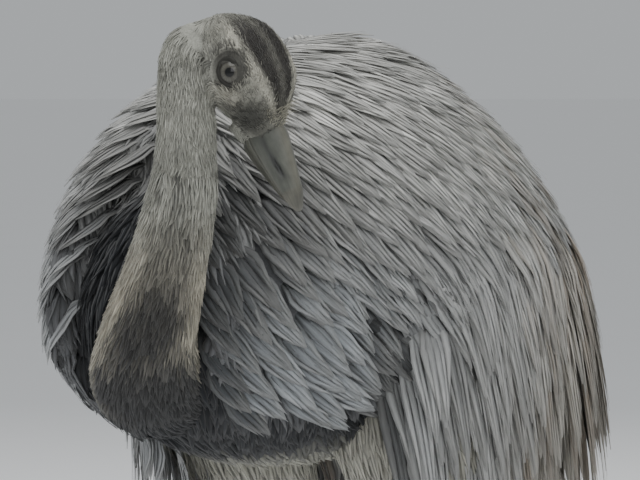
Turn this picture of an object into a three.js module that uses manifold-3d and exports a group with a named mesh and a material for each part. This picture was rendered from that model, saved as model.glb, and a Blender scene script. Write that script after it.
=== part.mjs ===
// A life-size greater rhea, standing, with its neck curved to its left and its head bowed.
// Millimetres, +Z up. The bird faces -Y, and +X is its left. The group is moved at the end so that
// the origin lies on the floor under the middle of the whole bird.
import * as THREE from "three";
import { mergeVertices } from "three/addons/utils/BufferGeometryUtils.js";
import Module from "manifold-3d";

const wasm = await Module();
wasm.setup();

// Sizes that drive the whole bird
const gap = 0.3; // kept between touching pieces
const body = {
  midY: 32,
  midZ: 746,
  halfLength: 349,
  halfWidth: 154,
  rise: 186, // from the middle up to the back
  drop: 181, // from the middle down to the belly
  breastSag: 24, // how far the section's middle sinks at the breast
  rumpSag: 150,
  rumpWiden: 0.1, // share by which the rump is wider, and less high, than the middle
  rumpFlatten: 0.6,
  rumpTuck: 0.5,
  breastBlunt: [2.3, 2.0],
  rumpBlunt: [2.1, 1.8],
};
const wingShell = {
  depth: 33, // feather bulk of the folded wing over the body
  edgeDepth: 12, // where it thins out at its lower edge
  lowZ: { left: 640, right: 592, rump: 575 }, // lower edge of the bulk, above the hanging plumes
  fadeZ: 110,
  breastOpening: { halfWidth: 62, halfHeight: 150, z: 680 },
  crease: { turn: 47, halfTurn: 9, depth: 24, topZ: 800 }, // behind the left shoulder's coverts
};
const lie = { outward: 0.5, back: 1.0, down: 1.2 };
const vaneSizes = {
  firstTier: 26, // degrees from where the feathers part, seen from the body's middle
  tierStep: 16.5,
  tiers: 8,
  columns: 26,
  width: 34,
  plumeWidth: 36,
  covertLength: 118,
  plumeLength: 265,
  thickness: 1.3,
  sink: 8,
  base: 6, // height over the shell where a vane has come out of it
  lift: 12,
  fan: 3, // how much farther out the plumes of each higher tier hang
};
const tailShape = {
  at: [0, 268, 590],
  along: [0, 0.62, -0.78],
  halfWidth: 70,
  length: 150,
  room: 15,
  feathers: 8,
  width: 32,
  spread: 0.7,
};
const neckPath = [
  { at: [0, -200, 690], r: 60 },
  { at: [-2, -266, 668], r: 54 },
  { at: [33, -326, 704], r: 41 },
  { at: [70, -358, 755], r: 35 },
  { at: [95, -374, 803], r: 31 },
  { at: [112, -383, 850], r: 27.5 },
  { at: [118, -388, 887], r: 25 },
  { at: [117, -387, 922], r: 24 },
  { at: [119, -379, 954], r: 26 },
  { at: [141, -367, 968], r: 18 },
];
const neckSplit = 0.47; // share of the neck's length in its lower node
const head = {
  at: [166, -364, 944],
  forward: [0.451, 0.068, -0.889], // where the bill points
  crown: [0.867, -0.268, 0.421],
  backY: 46,
  frontY: -60,
  halfWidth: 31,
  top: 30,
  bottom: 33,
};
const eye = { x: 21, y: -1, z: 0, ball: 14.5, looks: [0.84, -0.12, 0.53], lidRing: 11.6, lidTube: 2.3 };
const bill = {
  baseY: -46,
  tipY: -124,
  mouthZ: -23,
  mouthTipZ: -21,
  baseHalfWidth: 21,
  tipHalfWidth: 6.5,
  culmenBase: 28,
  culmenTip: 4.5,
  jawBase: 26,
  jawTip: 3,
};
const leg = {
  stance: 86, // half the distance between the feet
  stagger: 16, // the left foot stands this far ahead
  hock: [90, 112, 372],
  toeRoot: [86, 40, 40],
  scutes: 12,
  scuteStep: 1.6,
};
const toeNames = ["middle", "inner", "outer"];
const toeShape = {
  inner: { length: 84, turn: -30, r: 15 },
  middle: { length: 122, turn: 0, r: 18 },
  outer: { length: 88, turn: 30, r: 15 },
};
const clawShape = { length: 20, r: 8 };

const clamp = (v, lo, hi) => Math.min(hi, Math.max(lo, v));
const mix = (a, b, s) => a + (b - a) * s;
const smooth = (lo, hi, v) => {
  const s = clamp((v - lo) / (hi - lo), 0, 1);
  return s * s * (3 - 2 * s);
};
const vec = (a) => new THREE.Vector3(...a);
const radians = THREE.MathUtils.degToRad;

// A seeded random number from 0 to 1
function seededRandom(seed) {
  let state = seed;
  return () => {
    state = (state * 1664525 + 1013904223) % 4294967296;
    return state / 4294967296;
  };
}

// Moves every vertex of a unit geometry to its place
function warp(geometry, place) {
  const p = geometry.getAttribute("position");
  const v = new THREE.Vector3();
  for (let i = 0; i < p.count; i++) {
    const to = place(v.fromBufferAttribute(p, i));
    p.setXYZ(i, to.x, to.y, to.z);
  }
  return geometry;
}

// Turns the faces of a mirrored or warped form outwards
function facedOut(merged) {
  const p = merged.attributes.position;
  const index = merged.index.array;
  const [a, b, c] = [new THREE.Vector3(), new THREE.Vector3(), new THREE.Vector3()];
  let volume = 0;
  for (let i = 0; i < index.length; i += 3) {
    a.fromBufferAttribute(p, index[i]);
    b.fromBufferAttribute(p, index[i + 1]);
    c.fromBufferAttribute(p, index[i + 2]);
    volume += a.dot(b.cross(c));
  }
  return volume < 0 ? index.slice().reverse() : index;
}

function solidOf(geometry) {
  geometry.deleteAttribute("normal");
  geometry.deleteAttribute("uv");
  const merged = mergeVertices(geometry, 1e-3);
  const mesh = new wasm.Mesh({
    numProp: 3,
    vertProperties: merged.attributes.position.array,
    triVerts: new Uint32Array(facedOut(merged)),
  });
  return new wasm.Manifold(mesh);
}

function geometryOf(solid) {
  const mesh = solid.getMesh();
  const n = mesh.numProp;
  const flat = new Float32Array(mesh.numVert * 3);
  for (let i = 0; i < mesh.numVert; i++) {
    flat.set(mesh.vertProperties.subarray(i * n, i * n + 3), i * 3);
  }
  const made = new THREE.BufferGeometry();
  made.setAttribute("position", new THREE.BufferAttribute(flat, 3));
  made.setIndex(new THREE.BufferAttribute(mesh.triVerts, 1));
  made.computeVertexNormals();
  return made;
}

// The largest closed surface of a solid
function mainBody(solid) {
  const outsides = solid.decompose().filter((s) => s.volume() > 0);
  return outsides.reduce((a, b) => (b.volume() > a.volume() ? b : a));
}

// Copies moved by the gap in every direction, which together clear room round a solid
function shifted(solid) {
  const steps = [gap, -gap];
  return steps.flatMap((d) => [[d, 0, 0], [0, d, 0], [0, 0, d]]).map((by) => solid.translate(by));
}

const joined = (solids) => wasm.Manifold.union(solids);
const placedSphere = (at, r, around = 12, rings = 8) =>
  solidOf(new THREE.SphereGeometry(r, around, rings).translate(...at));

// Body form: t runs from the breast at -1 to the rump at 1, around from the top towards the left
function fullness(t) {
  const [p, q] = t < 0 ? body.breastBlunt : body.rumpBlunt;
  return Math.pow(Math.max(0, 1 - Math.pow(Math.abs(t), p)), 1 / q);
}

function sectionZ(t) {
  return body.midZ - (t < 0 ? body.breastSag : body.rumpSag) * t * t;
}

// Half the width, and the height above or below the middle, of the section at t
function halfSizes(t, isUp) {
  const rear = Math.max(0, t);
  const high = isUp ? body.rise * (1 - body.rumpFlatten * rear) : body.drop * (1 - body.rumpTuck * rear);
  return [body.halfWidth * (1 + body.rumpWiden * rear), high];
}

function onBody(t, around, out) {
  const full = fullness(t);
  const up = Math.cos(around);
  const [wide, half] = halfSizes(t, up > 0);
  return new THREE.Vector3(
    (wide + out) * full * Math.sin(around),
    body.midY + t * (body.halfLength + out * 0.7),
    sectionZ(t) + (half + out) * full * up,
  );
}

function lowEdge(p) {
  const { left, right, rump } = wingShell.lowZ;
  return mix(p.x > 0 ? left : right, rump, smooth(120, 300, p.y));
}

// How deep the folded wing lies over the body at a place on it
function shellDepth(p, creased = 1) {
  const open = wingShell.breastOpening;
  const front = Math.hypot(p.x / open.halfWidth, (p.z - open.z) / open.halfHeight);
  const nearBreast = p.y < 0 ? smooth(1, 1.4, front) : 1;
  const low = lowEdge(p);
  const nearEdge = smooth(low, low + wingShell.fadeZ, p.z);
  const { turn, halfTurn, depth, topZ } = wingShell.crease;
  const away = Math.abs(THREE.MathUtils.radToDeg(Math.atan2(p.x, body.midY - p.y)) - turn) / halfTurn;
  const crease = (1 - smooth(0.3, 1.4, away)) * (1 - smooth(topZ - 90, topZ, p.z)) * creased;
  return mix(3, mix(wingShell.edgeDepth, wingShell.depth, nearEdge), nearBreast) - depth * crease * nearEdge;
}

function bodyForm(depthAt, around = 30, rings = 18) {
  return warp(new THREE.SphereGeometry(1, around, rings), (p) => {
    const angle = Math.atan2(p.x, p.z);
    const out = depthAt(onBody(p.y, angle, 0));
    return onBody(p.y, angle, out);
  });
}

// Below 0 inside the form that lies `out` over the body, and above 0 outside it
function outsideBody(p, out) {
  const t = (p.y - body.midY) / (body.halfLength + out * 0.7);
  if (Math.abs(t) >= 1) return 1;
  const z = p.z - sectionZ(t);
  const [wide, half] = halfSizes(t, z > 0);
  const ring = Math.hypot(p.x / (wide + out), z / (half + out));
  return ring - fullness(t);
}

const middle = new THREE.Vector3(0, body.midY, body.midZ - 10);

// The point of the wing shell's outside that lies in a direction from the body's middle
function shellPoint(direction, creased = 1) {
  let near = 20;
  let far = 600;
  for (let i = 0; i < 24; i++) {
    const r = (near + far) / 2;
    const p = middle.clone().addScaledVector(direction, r);
    if (outsideBody(p, shellDepth(p, creased)) < 0) near = r;
    else far = r;
  }
  return middle.clone().addScaledVector(direction, near);
}

function shellNormal(p, creased = 1) {
  const out = p.clone().sub(middle).normalize();
  const side = new THREE.Vector3().crossVectors(out, vec([0.3, 0.5, 0.8])).normalize();
  const other = new THREE.Vector3().crossVectors(out, side);
  const step = 0.03;
  const at = (a, b) =>
    shellPoint(out.clone().addScaledVector(side, a).addScaledVector(other, b).normalize(), creased);
  const du = at(step, 0).sub(at(-step, 0));
  const dv = at(0, step).sub(at(0, -step));
  const n = du.cross(dv).normalize();
  return n.dot(out) < 0 ? n.negate() : n;
}

// Feathers part at a place in front of and above the body and run down over it like meridians
function flowOf(sideSign) {
  const to = new THREE.Vector3(sideSign * lie.outward, lie.back, -lie.down).normalize();
  const across = new THREE.Vector3().crossVectors(to, vec([0, 0, 1])).normalize();
  return { to, across, upward: new THREE.Vector3().crossVectors(across, to) };
}

// The shell's point on a meridian `turn`, at the angle `polar` from where the feathers part
function flowPoint({ to, across, upward }, polar, turn, creased = 1) {
  const direction = to.clone().multiplyScalar(-Math.cos(polar));
  direction.addScaledVector(across, Math.sin(polar) * Math.cos(turn));
  direction.addScaledVector(upward, Math.sin(polar) * Math.sin(turn));
  return shellPoint(direction.normalize(), creased);
}

// A feather's middle line, which follows the shell and then hangs free below its widest part
function vaneLine(flow, root, length, shares) {
  const down = vec([0, 0.06, -1]);
  const rear = smooth(100, 250, root.p.y);
  const hangFrom = mix(mix(-0.8, -0.08, smooth(-190, -60, root.p.y)), 0.44, rear);
  const droop = mix(0.6, 0.64, rear);
  let polar = root.polar;
  let p = root.p.clone();
  let normal = shellNormal(p, 0);
  let along = down.clone();
  let held = true;
  return shares.map((share, k) => {
    const step = k ? (share - shares[k - 1]) * length : 0;
    if (held) {
      polar += step / p.distanceTo(middle);
      p = flowPoint(flow, polar, root.turn);
      normal = shellNormal(p, 0);
      // The way it runs is read where the shell has no crease, or it would be thrown outwards
      along = flowPoint(flow, polar + 0.05, root.turn, 0).sub(flowPoint(flow, polar, root.turn, 0));
      along = along.projectOnPlane(normal).normalize();
      held = normal.z > hangFrom;
    } else {
      along = along.lerp(down, droop).normalize();
      p = p.clone().addScaledVector(along, step);
      normal = normal.clone().projectOnPlane(along).normalize();
    }
    return { p: p.clone(), normal: normal.clone(), along: along.clone(), share };
  });
}

// A feather: a thin box bent along its line, sunk at the root and raised at the tip
function vane(line, size) {
  const last = line.length - 1;
  const box = new THREE.BoxGeometry(1, 1, 1, 1, last, 1);
  return solidOf(
    warp(box, (v) => {
      const k = Math.round((v.y + 0.5) * last);
      const { p, normal, along, share } = line[k];
      const side = new THREE.Vector3().crossVectors(along, normal).normalize();
      const width = size.width * size.widths[k];
      const risen = size.base + (size.lift - size.base) * share;
      const lift = k ? risen : -size.sink;
      const tilt = size.tilt * v.x * 2;
      return p
        .clone()
        .addScaledVector(side, v.x * width)
        .addScaledVector(normal, lift + tilt + v.z * size.thickness);
    }),
  );
}

const covertShares = [0, 0.52, 1];
const covertWidths = [0.62, 1, 0.34];
const plumeShares = [0, 0.3, 0.68, 1];
const plumeWidths = [0.6, 1, 0.86, 0.2];

// Roots of one wing's feathers, in tiers that each lie half a feather's spacing off the last
function wingRoots(sideSign, flow) {
  const open = wingShell.breastOpening;
  const roots = [];
  for (let tier = 0; tier < vaneSizes.tiers; tier++) {
    const polar = radians(vaneSizes.firstTier + tier * vaneSizes.tierStep);
    const every = Math.sin(polar) < 0.72 ? 2 : 1;
    for (let i = 0; i < vaneSizes.columns; i += every) {
      const turn = ((i + ((tier % 2) * every) / 2) / vaneSizes.columns) * 2 * Math.PI;
      const p = flowPoint(flow, polar, turn);
      const front = Math.hypot(p.x / open.halfWidth, (p.z - open.z) / open.halfHeight);
      const onBreast = p.y < 0 && front < 1.12;
      const onWing = p.x * sideSign > 16 && p.z > lowEdge(p) + 16;
      if (onWing && !onBreast) roots.push({ p, polar, turn, tier });
    }
  }
  return roots;
}

function wingFeathers(sideSign, seed) {
  const random = seededRandom(seed);
  const flow = flowOf(sideSign);
  return wingRoots(sideSign, flow).map((root) => {
    const high = shellNormal(root.p).z;
    const long = root.p.y > -140 && high < mix(0.3, 0.66, smooth(60, 240, root.p.y));
    const grow = 0.9 + 0.2 * random();
    const reach = 0.72 + 0.28 * smooth(-300, 100, root.p.y);
    const length = (long ? vaneSizes.plumeLength : vaneSizes.covertLength * reach) * grow;
    const line = vaneLine(flow, root, length, long ? plumeShares : covertShares);
    return vane(line, {
      width: (long ? vaneSizes.plumeWidth : vaneSizes.width) * mix(0.9, 1.08, random()),
      widths: long ? plumeWidths : covertWidths,
      thickness: vaneSizes.thickness,
      sink: vaneSizes.sink,
      base: vaneSizes.base,
      lift: vaneSizes.lift + 2 * random() + (long ? vaneSizes.fan * (6 - root.tier) : 0),
      tilt: mix(-0.5, 0.5, random()),
    });
  });
}

// A wing folded over one side of the body, with its feathers in tiers
function wingSolid(sideSign, seed, keepClear) {
  const open = wingShell.breastOpening;
  const opening = new THREE.CylinderGeometry(1, 1, 700, 24);
  opening.scale(open.halfWidth, 1, open.halfHeight).translate(0, -350, open.z);
  const under = warp(new THREE.BoxGeometry(900, 1200, 400, 1, 12, 1), (v) => {
    const edge = lowEdge(vec([sideSign, v.y, 0]));
    return vec([v.x, v.y, v.z > 0 ? edge : 100]);
  });
  const otherSide = new THREE.BoxGeometry(600, 1200, 1200);
  otherSide.translate(-sideSign * (300 - gap / 2), 0, 700);
  const shell = solidOf(bodyForm(shellDepth)).subtract(solidOf(opening)).subtract(solidOf(under));
  const feathers = wingFeathers(sideSign, seed);
  let wing = joined([shell.subtract(solidOf(otherSide)), ...feathers]);
  wing = wing.subtract(solidOf(otherSide));
  keepClear.forEach((solid) => {
    wing = wing.subtract(solid);
  });
  return mainBody(wing);
}

// Tube of changing radius along a path, from share `from` to share `to` of its length
function tube(path, from, to, segments, sides, grow = 0) {
  const curve = new THREE.CatmullRomCurve3(path.map(({ at }) => vec(at)));
  const last = path.length - 1;
  const form = new THREE.CylinderGeometry(1, 1, 1, sides, segments);
  return warp(form, (v) => {
    const u = mix(from, to, v.y + 0.5);
    const here = curve.getPoint(u);
    const along = curve.getTangent(u);
    const side = new THREE.Vector3().crossVectors(vec([0, 1, 0.35]), along).normalize();
    const other = new THREE.Vector3().crossVectors(along, side);
    const k = clamp(Math.floor(u * last), 0, last - 1);
    const r = mix(path[k].r, path[k + 1].r, u * last - k) + grow;
    return here.addScaledVector(side, v.z * r).addScaledVector(other, v.x * r);
  });
}

// Head pieces are shaped in the head's own frame: X left, Y towards the nape, Z to the crown
const headFrame = (() => {
  const nape = vec(head.forward).normalize().negate();
  const crown = vec(head.crown).projectOnPlane(nape).normalize();
  const left = new THREE.Vector3().crossVectors(nape, crown);
  return new THREE.Matrix4().makeBasis(left, nape, crown).setPosition(...head.at);
})();

function headForm(grow = 0) {
  const { backY, frontY } = head;
  return warp(new THREE.SphereGeometry(1, 18, 12), (p) => {
    const s = p.y; // 1 at the nape, -1 at the bill
    const ring = Math.hypot(p.x, p.z) || 1;
    const y = s > 0 ? s * (backY + grow) : -s * (frontY - grow);
    const forward = clamp(-s, 0, 1);
    const blunt = Math.pow(1 - Math.pow(Math.abs(s), s > 0 ? 2.2 : 3.4), 1 / 2.1);
    const taper = 1 - 0.34 * smooth(0.3, 1, forward);
    const width = (head.halfWidth * taper + grow) * blunt;
    const top = (head.top * (1 - 0.5 * smooth(0.35, 1, forward)) + grow) * blunt;
    const bottom = (head.bottom * (1 - 0.1 * forward) + grow) * blunt;
    const z = p.z / ring;
    const middleZ = -5 * smooth(0.2, 1, forward);
    return vec([(p.x / ring) * width, y, middleZ + z * (z > 0 ? top : bottom)]);
  });
}

function eyePlace(sideSign) {
  return [sideSign * eye.x, eye.y, eye.z];
}

// Lids: a ring that stands round the eye and is drawn out towards its corners
function lids(sideSign, grow = 0) {
  const ring = new THREE.TorusGeometry(eye.lidRing, eye.lidTube + grow, 4, 12).scale(1.1, 0.94, 1);
  const out = vec([sideSign * eye.looks[0], eye.looks[1], eye.looks[2]]).normalize();
  const corner = vec([0, 1, 0]).projectOnPlane(out).normalize();
  const upper = new THREE.Vector3().crossVectors(out, corner);
  const at = vec(eyePlace(sideSign)).addScaledVector(out, 9.2);
  return solidOf(ring.applyMatrix4(new THREE.Matrix4().makeBasis(corner, upper, out).setPosition(at)));
}

// Head with its brows, cheeks and ears
function headBulk(grow = 0) {
  const swelling = (size, at) => {
    const form = new THREE.SphereGeometry(1, 8, 6);
    return solidOf(form.scale(...size.map((v) => v + grow)).translate(...at));
  };
  const pieces = [1, -1].flatMap((s) => [
    swelling([6, 22, 6], [s * 21, -4, 17]),
    swelling([13, 24, 12], [s * 20, -24, -18]),
  ]);
  // The right cheek and ear swell where the bent neck presses on them
  pieces.push(swelling([15, 28, 18], [-26, 12, -20]));
  return joined([solidOf(headForm(grow)), ...pieces]);
}

function headSolid() {
  const mouth = new THREE.BoxGeometry(80, 30, 0.8).translate(0, -50, bill.mouthZ);
  let solid = joined([headBulk(), lids(1), lids(-1)]);
  [1, -1].forEach((s) => {
    solid = solid.subtract(placedSphere(eyePlace(s), eye.ball + 1, 12, 8));
    const ear = new THREE.SphereGeometry(1, 8, 5).scale(6, 7, 4.5);
    solid = solid.subtract(solidOf(ear.translate(...(s > 0 ? [28, 24, -9] : [-39, 20, -14]))));
  });
  return mainBody(solid.subtract(solidOf(mouth)));
}

// Widths and heights along the bill, from its base at 0 to its tip at 1
const billTaper = (s) => Math.pow(1 - s, 0.8);
function billHalf(isUpper, grow = 0) {
  return warp(new THREE.SphereGeometry(1, 14, 9), (p) => {
    const s = (1 - p.y) / 2; // 0 at the base, 1 at the tip
    const ring = Math.hypot(p.x, p.z) || 1;
    const round = Math.pow(1 - Math.pow(Math.abs(p.y), 6), 1 / 2.2);
    const width = (mix(bill.tipHalfWidth, bill.baseHalfWidth, billTaper(s)) + grow) * round;
    const length = isUpper ? bill.tipY : bill.tipY + 4;
    const mouthZ = mix(bill.mouthZ, bill.mouthTipZ, s);
    const high = isUpper
      ? mix(bill.culmenTip, bill.culmenBase, billTaper(s))
      : mix(bill.jawTip, bill.jawBase, billTaper(s));
    const outer = isUpper ? p.z / ring : -p.z / ring;
    const shown = Math.max(0, outer) ** (isUpper ? 1.25 : 0.9) * (high + grow) * round;
    const z = isUpper ? mouthZ + gap / 2 + shown : mouthZ - gap / 2 - shown;
    const nod = isUpper ? -2.2 * smooth(0.8, 1, s) * Math.max(0, outer) : 0;
    return vec([(p.x / ring) * width, mix(bill.baseY, length, s), z + nod]);
  });
}

function upperBill(headCutter) {
  let solid = solidOf(billHalf(true));
  [1, -1].forEach((s) => {
    const nostril = new THREE.SphereGeometry(1, 8, 4).scale(3, 9, 2.6);
    nostril.rotateZ(s * 0.13).translate(s * 8.6, -84, bill.mouthZ + 11.5);
    solid = solid.subtract(solidOf(nostril));
  });
  return mainBody(solid.subtract(headCutter));
}

// Thigh and lower leg. `side` is 1 on the left and -1 on the right
function legPlace(point, side) {
  const [x, y, z] = point;
  const slide = side > 0 ? -leg.stagger : leg.stagger;
  const low = 1 - smooth(60, 620, z);
  return [side * x, y + slide * low, z];
}

function thighPath(side) {
  const joints = [
    { at: [92, -10, 690], r: 80 },
    { at: [100, 10, 610], r: 84 },
    { at: [100, 45, 530], r: 62 },
    { at: [95, 80, 460], r: 40 },
    { at: [91, 101, 410], r: 27 },
  ];
  return joints.map(({ at, r }) => ({ at: legPlace(at, side), r }));
}

// Bare leg with scutes stepped down its front, from above the hock to the toes
function shank(side) {
  const steps = leg.scutes * 2;
  const form = new THREE.CylinderGeometry(1, 1, 1, 8, steps);
  const top = vec([91.5, 101, 409.5]);
  const hock = vec(leg.hock);
  const foot = vec(leg.toeRoot);
  return warp(form, (v) => {
    const s = 0.5 - v.y; // 0 at the top, 1 at the toes
    const ring = Math.round(s * steps);
    const share = s - (ring % 2 ? 0.42 / steps : 0);
    const onTibia = clamp(share / 0.12, 0, 1);
    const onTarsus = clamp((share - 0.12) / 0.88, 0, 1);
    const here = top.clone().lerp(hock, onTibia).lerp(foot, onTarsus);
    const knob = Math.exp(-(((share - 0.13) / 0.07) ** 2));
    const base = 13.5 + 9 * knob + 5.5 * smooth(0.86, 1, share);
    const front = clamp(-v.z * 1.4, 0, 1);
    const raise = ring % 2 ? leg.scuteStep * front : 0;
    const place = legPlace([here.x, here.y, here.z], 1);
    const x = place[0] + v.x * (base * 0.88 + raise * 0.4);
    return vec([side * x, place[1] + v.z * (base + raise), place[2]]);
  });
}

// One toe, pointing forward and turned outwards, flat under its sole, with stepped scutes on top
function toe(name, side) {
  const { length, r } = toeShape[name];
  const steps = 10;
  return warp(new THREE.CylinderGeometry(1, 1, 1, 8, steps), (v) => {
    const s = v.y + 0.5; // 0 at the root, 1 at the claw
    const ring = Math.round(s * steps);
    const share = s - (ring % 2 ? 0.4 / steps : 0);
    const round = Math.sqrt(Math.max(0.1, 1 - Math.max(0, (share - 0.8) / 0.2) ** 2 * 0.75));
    const pads = 1 + 0.07 * Math.cos(share * Math.PI * 5);
    const wide = r * mix(1, 0.74, share) * round * pads;
    const high = mix(r * 2.05, r * 1.15, Math.pow(share, 0.55)) * (0.55 + 0.45 * round);
    const raise = v.z > 0.1 && ring % 2 ? 1.2 : 0;
    const flat = Math.max(v.z, -0.62);
    const z = ((flat + 0.62) / 1.62) * high + raise;
    return vec([v.x * wide, -share * length, z]);
  });
}

function claw(name) {
  const { length } = toeShape[name];
  return warp(new THREE.CylinderGeometry(1, 1, 1, 8, 3), (v) => {
    const s = v.y + 0.5;
    const wide = clawShape.r * mix(1, 0.16, Math.pow(s, 1.3));
    const high = clawShape.r * mix(1.5, 0.22, s);
    const flat = Math.max(v.z, -0.62);
    const z = ((flat + 0.62) / 1.62) * high * 1.1 + 2.2 * (1 - s) ** 2;
    return vec([v.x * wide, -length - gap - s * clawShape.length, z]);
  });
}

// Pad under the foot joint, flat on top where the leg stands on it
function heel(side) {
  const form = new THREE.CylinderGeometry(1, 1, 1, 12, 3);
  return warp(form, (v) => {
    const s = v.y + 0.5;
    const wide = mix(21, 18.5, s) + 4 * Math.sin(Math.PI * s);
    const [x, y] = legPlace([leg.toeRoot[0], leg.toeRoot[1], 0], side);
    return vec([x + v.x * wide, y + v.z * wide * 1.05, s * (leg.toeRoot[2] - gap)]);
  });
}

// Turns and moves a toe or claw from its own frame to its foot
function onFoot(geometry, name, side) {
  const turn = side * radians(toeShape[name].turn) * (name === "middle" ? 0 : 1);
  const [x, y] = legPlace([leg.toeRoot[0], leg.toeRoot[1], 0], side);
  const apart = name === "middle" ? 0 : Math.sign(turn) * 12;
  return geometry.rotateZ(turn).translate(x + apart, y, 0);
}

// Tail tuft under the wings' plumes: a fan of short feathers on a flat base. Its pieces are
// shaped with X across, Y along the fan and Z out of it
const tailFrame = (() => {
  const along = vec(tailShape.along).normalize();
  const out = new THREE.Vector3().crossVectors(vec([1, 0, 0]), along);
  return new THREE.Matrix4().makeBasis(vec([1, 0, 0]), along, out).setPosition(...tailShape.at);
})();

// The room that the wings leave for the tuft
function tailRoom() {
  const { halfWidth, length, room } = tailShape;
  const box = new THREE.BoxGeometry(2, 1, 2 * room).translate(0, 0.5, 0);
  const widened = warp(box, (v) => {
    const wide = v.y > 0.5 ? halfWidth * 1.5 : halfWidth + 6;
    return vec([v.x * wide, mix(-60, length + 40, v.y), v.z]);
  });
  return solidOf(widened).transform(tailFrame.elements);
}

function tailSolid(keepClear) {
  const { halfWidth, length, room, feathers, width } = tailShape;
  const base = new THREE.SphereGeometry(1, 12, 8).scale(halfWidth, 62, room - 4);
  const pieces = [solidOf(base.translate(0, 14, 0))];
  const random = seededRandom(5);
  for (let i = 0; i < feathers; i++) {
    const across = i / (feathers - 1) - 0.5;
    const turn = -across * tailShape.spread;
    const along = vec([-Math.sin(turn), Math.cos(turn), 0]);
    const root = vec([across * 1.5 * halfWidth, 34 - 40 * across * across, 0]);
    const size = length * mix(0.8, 0.92, random());
    const line = covertShares.map((share) => {
      const p = root.clone().addScaledVector(along, share * size);
      return { p, normal: vec([0, 0, 1]), along, share };
    });
    const level = i % 2 ? 3.5 : -3.5;
    const form = { widths: covertWidths, thickness: 1.4, sink: 0, base: level, lift: level };
    pieces.push(vane(line, { ...form, width, tilt: 0 }));
  }
  let tail = joined(pieces).transform(tailFrame.elements);
  keepClear.forEach((solid) => {
    tail = tail.subtract(solid);
  });
  return mainBody(tail);
}

// Colours and finishes
const finishes = {
  plume: { color: 0x6f7074, roughness: 0.9 },
  breast: { color: 0x3b3c40, roughness: 0.95 },
  neckFeather: { color: 0x77756c, roughness: 0.92 },
  thigh: { color: 0x9a978c, roughness: 0.95 },
  horn: { color: 0x55554c, roughness: 0.5 },
  eyeball: { color: 0x6b665a, roughness: 0.1 },
  legSkin: { color: 0x8b8577, roughness: 0.6 },
  clawHorn: { color: 0x35322d, roughness: 0.45 },
};
const rhea = new THREE.Group();

function addNode(name, solid, finish, parent = rhea) {
  const look = new THREE.MeshStandardMaterial({ metalness: 0, ...finishes[finish] });
  const mesh = new THREE.Mesh(geometryOf(solid), look);
  mesh.name = name;
  parent.add(mesh);
}

const torsoClear = solidOf(bodyForm(() => gap));
const lowerNeckClear = solidOf(tube(neckPath, 0, neckSplit, 8, 16, gap));
const torso = solidOf(bodyForm(() => 0));
const headClear = headBulk(2 * gap);

addNode("torso", torso, "breast");
const neckLower = solidOf(tube(neckPath, 0, neckSplit, 8, 16));
addNode("neck_lower", mainBody(neckLower.subtract(torsoClear)), "neckFeather");
const neckUpper = solidOf(tube(neckPath, neckSplit + 0.001, 0.995, 12, 14));
const eyeRoom = [1, -1].map((s) => placedSphere(eyePlace(s), eye.ball + 2 * gap));
const neckCutter = joined([headClear, lids(1, 2 * gap), lids(-1, 2 * gap), ...eyeRoom]);
const headInWorld = neckCutter.transform(headFrame.elements);
addNode("neck_upper", mainBody(neckUpper.subtract(headInWorld)), "neckFeather");

const headGroup = new THREE.Group();
headFrame.decompose(headGroup.position, headGroup.quaternion, headGroup.scale);
rhea.add(headGroup);
addNode("head", headSolid(), "neckFeather", headGroup);
addNode("bill_upper", upperBill(headClear), "horn", headGroup);
addNode("bill_lower", mainBody(solidOf(billHalf(false)).subtract(headClear)), "horn", headGroup);
[1, -1].forEach((side) => {
  const name = side > 0 ? "eye_left" : "eye_right";
  addNode(name, placedSphere(eyePlace(side), eye.ball, 14, 10), "eyeball", headGroup);
});

const thighs = [];
[1, -1].forEach((side) => {
  const word = side > 0 ? "left" : "right";
  const thigh = solidOf(tube(thighPath(side), 0, 1, 8, 14));
  thighs.push(joined(shifted(solidOf(tube(thighPath(side), 0, 1, 8, 14, 2 * gap)))));
  addNode(`thigh_${word}`, mainBody(thigh.subtract(torsoClear)), "thigh");
  const toes = toeNames.map((name) => solidOf(onFoot(toe(name, side), name, side)));
  toes[0] = joined([toes[0], solidOf(heel(side))]);
  const lower = mainBody(solidOf(shank(side)).subtract(thighs.at(-1)));
  addNode(`shank_${word}`, lower, "legSkin");
  let taken = [];
  toeNames.forEach((name, i) => {
    let own = toes[i];
    taken.forEach((solid) => {
      own = own.subtract(solid);
    });
    addNode(`toe_${name}_${word}`, mainBody(own), "legSkin");
    taken = [...taken, ...shifted(toes[i])];
    addNode(`claw_${name}_${word}`, solidOf(onFoot(claw(name), name, side)), "clawHorn");
  });
});

const clearOfWings = [torsoClear, lowerNeckClear, ...thighs];
clearOfWings.push(tailRoom());
const wings = [wingSolid(1, 11, clearOfWings), wingSolid(-1, 29, clearOfWings)];
addNode("wing_left", wings[0], "plume");
addNode("wing_right", wings[1], "plume");
addNode("tail_tuft", tailSolid([torsoClear]), "plume");

// The origin goes to the floor under the middle of the bird's box
rhea.updateMatrixWorld(true);
const box = new THREE.Box3().setFromObject(rhea, true);
const centre = box.getCenter(new THREE.Vector3());
rhea.position.set(-centre.x, -centre.y, -box.min.z);

export default rhea;
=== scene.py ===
# A still, life-size greater rhea: skin, feathers, bill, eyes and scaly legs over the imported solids.
# Forms are worked out in millimetres in the bird's own frame (+Z up, facing -Y, +X its left)
# and are put into the part's frame, in metres, as each mesh is made.
import math
import bpy
import numpy as np
from mathutils import Matrix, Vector
from mathutils.bvhtree import BVHTree


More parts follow.
